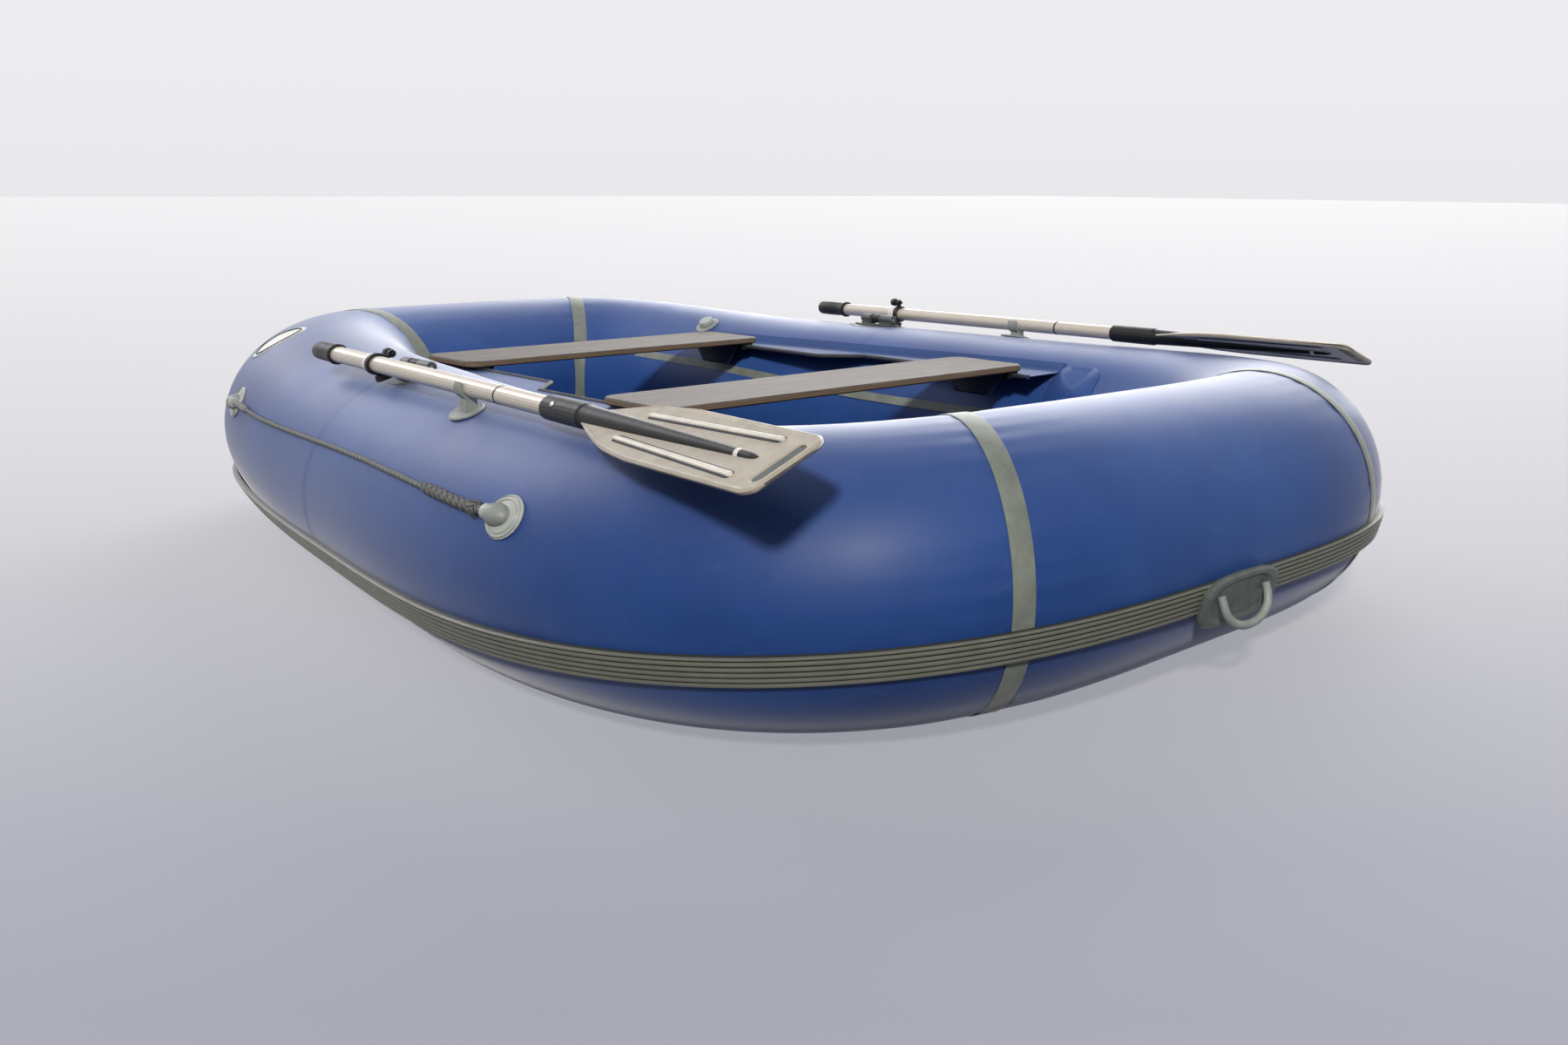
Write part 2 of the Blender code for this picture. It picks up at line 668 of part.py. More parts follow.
def rowlock_and_oar(word, side, place, splay, roll):
    """All the pieces of one side, written for port and mirrored for starboard."""
    aft = Vector((-math.cos(splay), math.sin(splay), 0))
    out = Vector((math.sin(splay), math.cos(splay), 0))
    up = Vector((0, 0, 1))
    grip = Vector((*place, OAR_Z))

    def oar(d, v=0.0, w=0.0):
        return grip + aft * d + out * v + up * w

    def mirror(p):
        return (p[0], side * p[1], p[2])

    pivot = oar(PIVOT_D)
    barrel = Vector((pivot.x, pivot.y - BARREL_OFF, BARREL_Z))
    liftAt = mirror(barrel)
    swingAt = mirror(pivot)
    tubeS = s_at_x(pivot.x)
    crest = on_section(tubeS, 0, 0)
    lean = 90 - math.degrees(math.asin((barrel.y - crest[1]) / TUBE_R))

    padRings = [(1, 0.0006), (0.97, 0.0010), (0.5, 0.0010), (0, 0.0010)]
    patch("rowlock_pad_" + word, tubeS, lean, 0.076, 0.040, 0.0007, padRings, TAPE, side)
    baseRings = [(1, 0.0018), (0.95, 0.0030), (0.5, 0.0030), (0, 0.0030)]
    base = patch("rowlock_base_" + word, tubeS, lean, 0.064, 0.026, 0.0020, baseRings, PALE, side)
    nose = [(0.018, 0), (0.018, BARREL_R)]
    for k in range(1, 5):
        t = math.radians(90 - 22.5 * k)
        nose.append((0.046 + 0.009 * math.cos(t), BARREL_R * math.sin(t) if k < 4 else 0))
    nose.insert(2, (0.046, BARREL_R))
    foreK = lathe("tmp1", nose, barrel, (1, 0, 0), PALE, side)
    aftK = rounded_rod("tmp2", 0.0125, 0.055, BARREL_R, barrel, (-1, 0, 0), PALE, side)

    def foot(name, low, high):
        def frame(t, a, b):
            return (barrel.x + t, barrel.y + a, b)

        sole = crest[2] + TUBE_R * math.sin(math.radians(lean)) + 0.0036
        w = BARREL_R * 0.86
        tilt = w / math.tan(math.radians(lean))
        outline = [(-w, sole + tilt), (w, sole - tilt), (w * 0.93, BARREL_Z - 0.002), (-w * 0.93, BARREL_Z - 0.002)]
        return prism(name, outline, low, high, frame, PALE, side)

    combine(base, [foreK, aftK, foot("tmp3", 0.0185, 0.047), foot("tmp4", -0.053, -0.0130)], "UNION")
    bore = lathe("tmp5", [(-0.07, 0), (-0.07, BORE_R), (0.0405, BORE_R), (0.0405, 0)], barrel, (1, 0, 0), PALE, side, 16)
    combine(base, [bore], "DIFFERENCE")
    rounded_rod("rowlock_pin_" + word, -0.0540, 0.0400, PIN_R, barrel, (1, 0, 0), METAL, side, 16, 0.0006)

    # Swivel: middle knuckle, arm and the boss that holds the clasp's stem.
    swivel = rounded_rod("rowlock_swivel_" + word, -0.0120, 0.0120, BARREL_R, barrel, (1, 0, 0), PALE, side, 24, 0.001, liftAt)
    b0 = barrel.y
    shape = [(0.003, 0.3985), (0.014, 0.3950), (0.030, 0.3905), (0.042, 0.3865), (0.050, 0.3836), (0.057, 0.3818)]
    shape += [(0.060, 0.3765), (0.052, 0.3742), (0.042, 0.3778), (0.031, 0.3826), (0.014, 0.3880), (0.003, 0.3900)]

    def armFrame(t, a, b):
        return (pivot.x + t, b0 + a, b)

    arm = prism("tmp1", shape, -0.0072, 0.0072, armFrame, PALE, side)
    stem = out * math.sin(LEAN) + up * math.cos(LEAN)
    boss = rounded_rod("tmp2", -0.0285, -0.0190, 0.0092, pivot, stem, PALE, side, 24, 0.0008)
    combine(swivel, [arm, boss], "UNION")
    bore1 = lathe("tmp3", [(-0.03, 0), (-0.03, BORE_R), (0.03, BORE_R), (0.03, 0)], barrel, (1, 0, 0), PALE, side, 16)
    bore2 = lathe("tmp4", [(-0.04, 0), (-0.04, STEM_BORE), (-0.012, STEM_BORE), (-0.012, 0)], pivot, stem, PALE, side, 16)
    combine(swivel, [bore1, bore2], "DIFFERENCE")

    # Clasp: the ring round the shaft, its ear for the clamp screw and its stem.
    ringProfile = [(-0.0055, CLASP_IN), (-0.0055, CLASP_OUT - 0.001), (-0.0045, CLASP_OUT)]
    ringProfile += [(0.0045, CLASP_OUT), (0.0055, CLASP_OUT - 0.001), (0.0055, CLASP_IN)]
    clasp = lathe("clasp_" + word, ringProfile, pivot, aft, BLACK, side, 22, at=swingAt)
    turn = math.radians(145 if side > 0 else 97)
    earAt = pivot + out * (KNOB_OFF * math.cos(turn)) + up * (KNOB_OFF * math.sin(turn))
    ear = rounded_rod("tmp1", -0.0052, 0.0052, 0.0062, earAt, aft, BLACK, side, 16, 0.0008)
    web = rounded_rod("tmp2", 0.0150, 0.0240, 0.0050, pivot, earAt - pivot, BLACK, side, 12, 0.0005)
    stemRod = rounded_rod("tmp3", -0.0282, -0.0150, STEM_R, pivot, stem, BLACK, side, 16, 0.0006)
    combine(clasp, [ear, web, stemRod], "UNION")
    screwBore = lathe("tmp4", [(-0.02, 0), (-0.02, SCREW_R + GAP), (0.02, SCREW_R + GAP), (0.02, 0)], earAt, aft, BLACK, side, 16)
    combine(clasp, [screwBore], "DIFFERENCE")
    knob = [(0.0105, 0), (0.0105, SCREW_R), (-0.0055, SCREW_R), (-0.0055, 0.0052), (-0.0072, 0.0052), (-0.0072, 0.0072)]
    knob += [(-0.0085, 0.0080), (-0.0185, 0.0080), (-0.0200, 0.0068), (-0.0200, 0)]
    lathe("clasp_knob_" + word, knob, earAt, aft, BLACK, side, 24, ((6, 7), 8, 0.07), mirror(earAt), 30)

    # Oar: grip cup, two shaft lengths, collar, blade socket, blade and spring button.
    hole = SHAFT_R + GAP
    gripProfile = [(0.0, 0), (0.0, 0.0125), (0.003, 0.0152), (0.050, 0.0158), (0.084, 0.0152), (0.086, 0.0205)]
    gripProfile += [(0.0905, 0.0205), (0.0915, 0.0195), (0.0915, hole), (0.0123, hole), (0.0123, 0)]
    lathe("oar_grip_" + word, gripProfile, grip, aft, BLACK, side, 20, at=swingAt)
    rounded_rod("oar_shaft_inner_" + word, 0.0126, SHAFT_JOINT_D - half, SHAFT_R, grip, aft, METAL, side, 20, 0.0008, swingAt)
    collarProfile = [(-0.0245, hole), (-0.0245, 0.0150), (-0.0235, 0.0160), (-0.0075, 0.0160), (-0.0065, 0.0150), (-0.0065, hole)]
    lathe("oar_collar_" + word, collarProfile, pivot, aft, PALE, side, 20, at=swingAt)
    outer = rounded_rod("oar_shaft_outer_" + word, SHAFT_JOINT_D + half, SHAFT_END, SHAFT_R, grip, aft, METAL, side, 20, 0.0008, swingAt)
    socketProfile = [(SHAFT_END + 0.0006, 0), (SHAFT_END + 0.0006, hole), (SOCKET_D, hole), (SOCKET_D, 0.0158), (SOCKET_D + 0.002, 0.0168)]
    socketProfile += [(BLADE_D - 0.011, 0.0172), (BLADE_D - 0.008, 0.0160), (BLADE_D - GAP, 0.0145), (BLADE_D - GAP, 0)]
    socket = lathe("oar_socket_" + word, socketProfile, grip, aft, BLACK, side, 20, at=swingAt)
    press = out * math.cos(math.radians(35)) + up * math.sin(math.radians(35))
    buttonAt = oar(SOCKET_D + 0.036)
    well = lathe("tmp1", [(0.0065, 0), (0.0065, 0.0046), (0.03, 0.0046), (0.03, 0)], buttonAt, press, BLACK, side, 16)
    well2 = lathe("tmp2", [(0.0065, 0), (0.0065, 0.0046), (0.03, 0.0046), (0.03, 0)], buttonAt, press, BLACK, side, 16)
    combine(socket, [well], "DIFFERENCE")
    combine(outer, [well2], "DIFFERENCE")
    button = [(0.0100, 0), (0.0100, 0.0040), (0.0172, 0.0040), (0.0182, 0.0030), (0.0186, 0)]
    lathe("oar_button_" + word, button, buttonAt, press, METAL, side, 16, at=mirror(buttonAt + press * 0.0100))
    blade("oar_blade_" + word, oar, out, up, side, swingAt, roll)

    # Clip: an oval foot on the tube and two springy ears round the shaft.
    clipAt = oar(CLIP_D)
    clipS = s_at_x(clipAt.x)
    middle = on_section(clipS, 0, 0)
    clipLean = 90 - math.degrees(math.asin((clipAt.y - middle[1]) / TUBE_R))
    clipRings = [(1, 0.0020), (0.93, 0.0032), (0.5, 0.0034), (0, 0.0034)]
    clip = patch("oar_clip_" + word, clipS, clipLean, 0.036, 0.024, 0.0006, clipRings, PALE, side)
    inner, outer_r = SHAFT_R + 0.0004, SHAFT_R + 0.0038
    outline = []
    for k in range(15):
        a = math.radians(-205 + 230 * k / 14)
        outline.append((outer_r * math.cos(a), outer_r * math.sin(a)))
    outline.append((inner * math.cos(math.radians(25)) + 0.0022, inner * math.sin(math.radians(25)) + 0.0034))
    for k in range(15):
        a = math.radians(25 - 230 * k / 14)
        outline.append((inner * math.cos(a), inner * math.sin(a)))
    outline.append((-inner * math.cos(math.radians(25)) - 0.0022, inner * math.sin(math.radians(25)) + 0.0034))

    def clipFrame(t, a, b):
        return tuple(clipAt + aft * t + out * a + up * b)

    ears = prism("tmp1", outline, -0.012, 0.012, clipFrame, PALE, side)
    sole = middle[2] + TUBE_R * math.sin(math.radians(clipLean)) + 0.0030 - clipAt.z
    tilt = 0.009 / math.tan(math.radians(clipLean))
    postShape = [(-0.009, sole + tilt), (0.009, sole - tilt), (0.0075, -0.0152), (-0.0075, -0.0152)]
    post = prism("tmp2", postShape, -0.011, 0.011, clipFrame, PALE, side)
    combine(clip, [ears, post], "UNION")


def blade(name, oar, out, up, side, at, roll):
    """A moulded blade: plate with a tapering middle rib and two small ribs on each face."""
    wide = out * math.cos(roll) - up * math.sin(roll)
    thick = out * math.sin(roll) + up * math.cos(roll)
    root, end = BLADE_D, OAR_LENGTH
    shoulder, tip = root + 0.155, end - 0.110
    ds = [root + v for v in (0, 0.012, 0.030, 0.055, 0.085, 0.120)] + [shoulder]
    middle = [shoulder + (tip - shoulder) * f for f in (0.2157, 0.4902, 0.7647)]
    ds += middle + [end - v for v in (0.110, 0.070, 0.045, 0.020, 0.012, 0.004, 0)]
    widths = [(root, 0.0145), (root + 0.012, 0.018), (root + 0.030, 0.024), (root + 0.055, 0.032)]
    widths += [(root + 0.085, 0.041), (root + 0.120, 0.049), (shoulder, BLADE_HALF - 0.003), (middle[0], BLADE_HALF)]
    widths += [(middle[2], BLADE_HALF), (end, BLADE_HALF)]

    def half_width(d):
        w = float(np.interp(d, [p[0] for p in widths], [p[1] for p in widths]))
        r = 0.022
        if d > end - r:
            w = BLADE_HALF - r + math.sqrt(max(0.0, r * r - (d - end + r) ** 2))
        return w

    def rib(d):
        return (
            float(np.interp(d, [root, root + 0.09, end - 0.07, end], [0.0130, 0.0125, 0.004, 0.004])),
            float(
                np.interp(
                    d,
                    [root, root + 0.05, root + 0.11, end - 0.07, end - 0.055, end],
                    [0.0145, 0.0135, 0.0105, 0.0042, 0.0026, 0.0026],
                )
            ),
        )

    points = []
    for d in ds:
        w = half_width(d)
        base, high = rib(d)
        plate = min(0.0026, high)
        ridge = plate + (0.0014 if root + 0.14 < d < end - 0.06 else 0.0)
        room = w - base
        row = []
        for f, h in ((1.0, 0.0012), (0.97, plate), (0.56, plate), (0.52, ridge), (0.48, plate), (0.0, plate)):
            row.append((-(base + room * f), h))
        row.append((-base * 0.55, high * 0.86 if high > 0.003 else plate))
        row.append((0.0, high))
        top = row + [(-v, h) for v, h in reversed(row[:-1])]
        low = [(v, -h) for v, h in reversed(top)]
        for v, h in top + low:
            points.append(tuple(oar(d) + wide * v + thick * h))
    n = len(points) // len(ds)
    faces = [tuple(range(n)), tuple((len(ds) - 1) * n + k for k in range(n - 1, -1, -1))]
    for i in range(len(ds) - 1):
        for k in range(n):
            l = (k + 1) % n
            faces.append((i * n + k, (i + 1) * n + k, (i + 1) * n + l, i * n + l))
    body = make(name, points, orient(points, faces), BEIGE, side=side, origin=at, smooth=25)
    slot = []
    for sx, start in ((1, -90), (-1, 90)):
        for k in range(7):
            a = math.radians(start + 30 * k)
            slot.append((sx * 0.033 + 0.0055 * math.cos(a), 0.0055 * math.sin(a)))

    def frame(t, a, b):
        return tuple(oar(end - 0.021) + wide * a + direction * b + thick * t)

    direction = (oar(end) - oar(root)).normalized()
    cutter = prism("tmpSlot", slot, 0.0014, 0.006, frame, BEIGE, side)
    combine(body, [cutter], "DIFFERENCE")
    return body


rowlock_and_oar("port", 1, PORT_GRIP, PORT_SPLAY, PORT_ROLL)
rowlock_and_oar("starboard", -1, STARBOARD_GRIP, STARBOARD_SPLAY, STARBOARD_ROLL)


# Lifeline holders, each an oval pad with a nose that takes the rope, and the rope between them.
def rope_angle(x):
    return float(np.interp(x, [-0.64, -0.55, -0.44, -0.30, -0.14, 0.05, 0.26, 0.50, 0.74], [27, 27.6, 29, 29.6, 29.4, 27.8, 25.4, 22.4, 21]))


def rope_lift(x, low, high):
    """Radius of the rope near its splices: thick at both ends, longer at the aft one."""
    return float(np.interp(x, [low, low + 0.16, low + 0.18, high - 0.11, high - 0.09, high], [ROPE_THICK, ROPE_THICK, ROPE_R, ROPE_R, ROPE_THICK, ROPE_THICK]))


def rope_holder(name, x, way):
    degrees = rope_angle(x)
    s = s_of_x(x, degrees)
    rings = [(1, 0.0016), (0.92, 0.0032), (0.5, 0.0044), (0, 0.0046)]
    body = patch(name, s, degrees, 0.037, 0.029, 0.0009, rings, GREY)
    centreR = TUBE_R + 0.0112
    tip = Vector(skin(s_of_x(x - way * 0.030, rope_angle(x - way * 0.030)), rope_angle(x - way * 0.030), centreR))
    back = Vector(skin(s_of_x(x + way * 0.006, rope_angle(x)), rope_angle(x), centreR - 0.001))
    long = (tip - back).length
    profile = [(0, 0), (0.0, 0.0050), (0.004, 0.0085), (0.012, 0.0098), (long - 0.0015, 0.0100), (long, 0.0088), (long, 0)]
    nose = lathe("tmp1", profile, back, tip - back, GREY, 1, 20)
    combine(body, [nose], "UNION")
    return tip, (tip - back).normalized()


tipBow, wayBow = rope_holder("rope_holder_bow", 0.738, 1)
tipAft, wayAft = rope_holder("rope_holder_aft", -0.633, -1)


def rope():
    low, high = tipAft.x, tipBow.x
    xs = np.linspace(high - 0.020, low + 0.020, 62)
    points = [tipBow + wayBow * GAP, tipBow + wayBow * 0.007]
    radii = [ROPE_THICK] * 2
    for x in xs:
        r = rope_lift(x, low, high)
        s = s_of_x(x, rope_angle(x))
        near = min(1.0, min(high - x, x - low) / 0.05)
        lift = r + 0.0011 + (0.0112 - ROPE_THICK - 0.0011) * (1 - near)
        points.append(Vector(skin(s, rope_angle(x), TUBE_R + lift)))
        radii.append(r)
    points += [tipAft + wayAft * 0.007, tipAft + wayAft * GAP]
    radii += [ROPE_THICK] * 2
    data = bpy.data.curves.new("lifeline", "CURVE")
    data.dimensions = "3D"
    data.bevel_depth = 1.0
    data.bevel_resolution = 2
    data.resolution_u = 1
    data.use_fill_caps = True
    line = data.splines.new("POLY")
    line.points.add(len(points) - 1)
    for p, co, r in zip(line.points, points, radii):
        p.co = (*co, 1)
        p.radius = r
    obj = bpy.data.objects.new("lifeline", data)
    bpy.context.scene.collection.objects.link(obj)
    data.materials.append(material("lifeline", *CORD))


rope()


# Stern handle: a moulded pad over the strake and its bail.
def stern_handle():
    r0 = STRAKE_IN + STRAKE_T + GAP

    def at(y, z, depth):
        a = math.degrees(math.asin((z - FRAME_Z[-1]) / (TUBE_R + 0.006)))
        s = END - abs(y)
        p = skin(s if y >= 0 else -s, a, r0 + depth)
        return p

    mid_y, mid_z = 0.019, 0.147
    rings = [(1.0, 0.0), (1.0, 0.005), (0.93, 0.0085), (0.80, 0.0085), (0.70, 0.0045), (0.35, 0.0040)]
    count = 28

    def loop(f, depth):
        found = []
        for k in range(count):
            t = 2 * math.pi * k / count
            c, d = math.cos(t), math.sin(t)
            n = 3.2
            q = (abs(c) ** n + abs(d) ** n) ** (-1 / n)
            found.append(at(mid_y + 0.078 * f * q * c, mid_z + 0.036 * f * q * d, depth))
        return found

    points = [at(mid_y, mid_z, 0.0)]
    for f in (0.4, 0.75):
        points += loop(f, 0.0)
    for f, depth in rings:
        points += loop(f, depth)
    points.append(at(mid_y, mid_z, 0.004))
    total = 2 + len(rings)
    faces = []
    for k in range(count):
        l = (k + 1) % count
        faces.append((0, 1 + l, 1 + k))
        for i in range(total - 1):
            p, q = 1 + i * count, 1 + (i + 1) * count
            faces.append((p + k, p + l, q + l, q + k))
        e = 1 + (total - 1) * count
        faces.append((e + k, e + l, len(points) - 1))
    pad = make("stern_handle_pad", points, orient(points, faces), GREY, smooth=35)

    # The bail leaves the pad's face at both ends and hangs out and down as a grip bar.
    def way(t):
        y = mid_y + 0.047 * math.cos(math.pi * t)
        spread = math.sin(math.pi * t) ** 0.6
        z = mid_z + 0.012 - 0.030 * spread
        return Vector(at(y, z, 0.0092 + 0.024 * spread))

    steps = 20
    line = [way(k / steps) for k in range(steps + 1)]
    line[0] = Vector(at(mid_y + 0.047, mid_z + 0.012, 0.0049))
    line[-1] = Vector(at(mid_y - 0.047, mid_z + 0.012, 0.0049))
    pts = []
    for k, p in enumerate(line):
        a = line[max(0, k - 1)]
        b = line[min(steps, k + 1)]
        t = (b - a).normalized()
        if k in (0, steps):
            y = mid_y + (0.047 if k == 0 else -0.047)
            t = Vector(at(y, mid_z + 0.012, 0.02)) - Vector(at(y, mid_z + 0.012, 0.0))
            t = t.normalized() * (1 if k == 0 else -1)
        e1 = t.cross(Vector((0, 0.05, 1))).normalized()
        e2 = t.cross(e1).normalized()
        for j in range(10):
            q = 2 * math.pi * j / 10
            pts.append(tuple(p + e1 * (0.0046 * math.cos(q)) + e2 * (0.0046 * math.sin(q))))
    fs = [tuple(range(9, -1, -1)), tuple(steps * 10 + j for j in range(10))]
    for i in range(steps):
        for j in range(10):
            l = (j + 1) % 10
            fs.append((i * 10 + j, i * 10 + l, (i + 1) * 10 + l, (i + 1) * 10 + j))
    make("stern_handle_bail", pts, orient(pts, fs), PALE)
    return pad


stern_handle()
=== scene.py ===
import math

import bmesh
import bpy
import numpy as np
from mathutils import Matrix, Vector


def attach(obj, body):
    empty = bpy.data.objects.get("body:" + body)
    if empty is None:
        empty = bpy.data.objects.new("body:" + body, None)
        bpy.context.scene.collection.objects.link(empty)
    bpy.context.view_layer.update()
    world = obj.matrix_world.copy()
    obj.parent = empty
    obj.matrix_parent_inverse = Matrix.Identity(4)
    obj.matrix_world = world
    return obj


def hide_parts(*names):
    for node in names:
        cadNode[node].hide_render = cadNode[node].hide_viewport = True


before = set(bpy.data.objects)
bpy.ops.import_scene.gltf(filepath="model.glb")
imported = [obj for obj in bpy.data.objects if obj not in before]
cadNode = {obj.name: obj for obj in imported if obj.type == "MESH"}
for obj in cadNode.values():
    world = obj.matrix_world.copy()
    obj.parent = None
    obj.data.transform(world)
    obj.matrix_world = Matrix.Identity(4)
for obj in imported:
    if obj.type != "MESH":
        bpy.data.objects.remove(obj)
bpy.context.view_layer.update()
print("frame loaded,", len(cadNode), "nodes")


def wayOf(azimuth, height):
    flat = math.cos(height)
    return Vector((math.cos(azimuth) * flat, math.sin(azimuth) * flat, math.sin(height)))


# camera, set to the photograph's viewing angle
view = {"at": (-2.4357, 1.5997, 0.7007), "yaw": -0.8654, "pitch": -0.0309, "roll": 0.0075,
        "sensor": 36, "lens": 33.75, "shiftX": -0.2365, "shiftY": -0.1864, "near": 0.05, "far": 100}


def addCamera():
    roll = view["roll"]
    ahead = wayOf(view["yaw"], view["pitch"])
    right = ahead.cross(Vector((0, 0, 1))).normalized()
    up = right.cross(ahead)
    rolledRight = right * math.cos(roll) + up * math.sin(roll)
    rolledUp = up * math.cos(roll) - right * math.sin(roll)
    data = bpy.data.cameras.new("camera")
    data.sensor_fit = "HORIZONTAL"
    data.sensor_width = view["sensor"]
    data.lens = view["lens"]
    data.shift_x = view["shiftX"]
    data.shift_y = view["shiftY"]
    data.clip_start = view["near"]
    data.clip_end = view["far"]
    camera = bpy.data.objects.new("camera", data)
    turn = Matrix((rolledRight, rolledUp, -ahead)).transposed().to_4x4()
    camera.matrix_world = Matrix.Translation(Vector(view["at"])) @ turn
    bpy.context.scene.collection.objects.link(camera)
    bpy.context.scene.camera = camera


addCamera()
print("camera set")


# the tube ring: the same plan, heights and section planes as the solids
hull = {"tubeRadius": 0.19, "tubeSides": 32, "halfLength": 1.055, "halfBeam": 0.518, "taper": -0.26,
        "bowPower": 5.8, "sternPower": 3.35, "bowRise": 0.031, "bowRiseFrom": 0.15,
        "sternRise": 0.025, "sternRiseFrom": 0.35, "bowSeam": 0.2508, "sternSeamFromEnd": 0.3237,
        "gap": 0.0003, "bearing": 0.10, "planSteps": 1500, "endSteps": 900, "endShares": (0.001, 0.98),
        "rounds": 20, "roundShare": 0.8}
tubeR = hull["tubeRadius"]
tubeRound = 2 * math.pi * tubeR
bothSides = (("port", 1), ("starboard", -1))


def planPoint(angle):
    c = math.cos(angle)
    power = hull["bowPower"] if c >= 0 else hull["sternPower"]
    x = hull["halfLength"] * math.copysign(abs(c) ** (2 / power), c)
    taper = 1 + hull["taper"] * x / hull["halfLength"]
    y = hull["halfBeam"] * abs(math.sin(angle)) ** (2 / power) * taper
    return x, y


def planAngles():
    angles = set(float(v) for v in np.linspace(0, math.pi, hull["planSteps"]))
    for t in np.linspace(*hull["endShares"], hull["endSteps"]):
        angles.add(math.acos(float(t) ** (hull["bowPower"] / 2)))
        angles.add(math.acos(-float(t) ** (hull["sternPower"] / 2)))
    return sorted(angles)


middleLine = np.array([planPoint(a) for a in planAngles()])
middleLine[0, 1] = 0
middleLine[-1, 1] = 0
runLength = np.concatenate([[0], np.cumsum(np.hypot(*np.diff(middleLine, axis=0).T))])
half = float(runLength[-1])
bowSeam = hull["bowSeam"]
sternSeam = half - hull["sternSeamFromEnd"]
slit = hull["gap"] / 2


def centreOf(s):
    # s runs from the bow along port to the stern, and past both onto starboard
    s = np.asarray(s, float)
    a = np.where(s < half, np.abs(s), 2 * half - s)
    side = np.where((s < 0) | (s > half), -1.0, 1.0)
    return np.interp(a, runLength, middleLine[:, 0]), side * np.interp(a, runLength, middleLine[:, 1])


def outwardOf(s):
    x0, y0 = centreOf(np.asarray(s) - hull["bearing"])
    x1, y1 = centreOf(np.asarray(s) + hull["bearing"])
    long = np.hypot(x1 - x0, y1 - y0)
    return (y1 - y0) / long, -(x1 - x0) / long


def levelOf(x):
    u = x / hull["halfLength"]
    ahead = np.clip((u - hull["bowRiseFrom"]) / (1 - hull["bowRiseFrom"]), 0, 1)
    behind = np.clip((-u - hull["sternRiseFrom"]) / (1 - hull["sternRiseFrom"]), 0, 1)
    rest = tubeR * math.cos(math.pi / hull["tubeSides"])
    return rest + hull["bowRise"] * ahead ** 2 + hull["sternRise"] * behind ** 2


def sectionPoint(s, out, up):
    x, y = centreOf(s)
    nx, ny = outwardOf(s)
    return np.stack([x + out * nx, y + out * ny, levelOf(x) + up + 0 * np.asarray(out)], -1)


def skinPoint(s, degrees, radius):
    # 0 degrees is outboard, 90 on top, 180 inboard
    t = np.radians(degrees)
    return sectionPoint(s, radius * np.cos(t), radius * np.sin(t))


def runAtX(x):
    return float(np.interp(-x, -middleLine[:, 0], runLength))


def runUnder(x, degrees):
    # the run whose skin point at this angle lies at x, found step by step
    s = runAtX(x)
    for step in range(hull["rounds"]):
        s += (float(skinPoint(s, degrees, tubeR)[0]) - x) * hull["roundShare"]
    return s


# shapes made from a grid: place(u, v) gives the points, u along and v across, and the size is the
# length and width of the piece's UV map in metres
grid = {"weld": 1e-6, "smooth": 40}


def gridPiece(name, place, along, across, size, closeAcross=False, closeAlong=False, smooth=grid["smooth"]):
    bm = bmesh.new()
    bm.loops.layers.uv.new("UVMap")
    bmesh.ops.create_grid(bm, x_segments=along, y_segments=across, size=0.5, calc_uvs=True)
    mesh = bpy.data.meshes.new(name)
    bm.to_mesh(mesh)
    flat = np.empty(len(mesh.vertices) * 3)
    mesh.vertices.foreach_get("co", flat)
    flat = flat.reshape(-1, 3) + 0.5
    uv = np.empty(len(mesh.loops) * 2)
    mesh.uv_layers[0].data.foreach_get("uv", uv)
    mesh.uv_layers[0].data.foreach_set("uv", (uv.reshape(-1, 2) * np.array(size)).ravel())
    mesh.vertices.foreach_set("co", np.asarray(place(flat[:, 0], flat[:, 1]), float).ravel())
    bm.clear()
    bm.from_mesh(mesh)
    if closeAcross or closeAlong:
        bmesh.ops.remove_doubles(bm, verts=bm.verts, dist=grid["weld"])
    if closeAcross and not closeAlong:
        rim = [e for e in bm.edges if e.is_boundary]
        bmesh.ops.holes_fill(bm, edges=rim, sides=0)
    bmesh.ops.recalc_face_normals(bm, faces=bm.faces)
    return finishMesh(name, bm, mesh, smooth)


def finishMesh(name, bm, mesh, smooth):
    bm.to_mesh(mesh)
    bm.free()
    if smooth:
        mesh.shade_smooth()
        mesh.set_sharp_from_angle(angle=math.radians(smooth))
    piece = bpy.data.objects.new(name, mesh)
    bpy.context.scene.collection.objects.link(piece)
    return piece


def thicken(piece, thickness, offset=-1):
    solid = piece.modifiers.new("thickness", "SOLIDIFY")
    solid.thickness = thickness
    solid.offset = offset


def dress(piece, material, body="hull", replaced=()):
    piece.data.materials.clear()
    piece.data.materials.append(material)
    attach(piece, body)
    if replaced:
        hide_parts(*replaced)
    return piece


# colours are written as they look
def shade(code):
    parts = [int(code[i:i + 2], 16) / 255 for i in (1, 3, 5)]
    return tuple(c / 12.92 if c <= 0.04045 else ((c + 0.055) / 1.055) ** 2.4 for c in parts) + (1,)


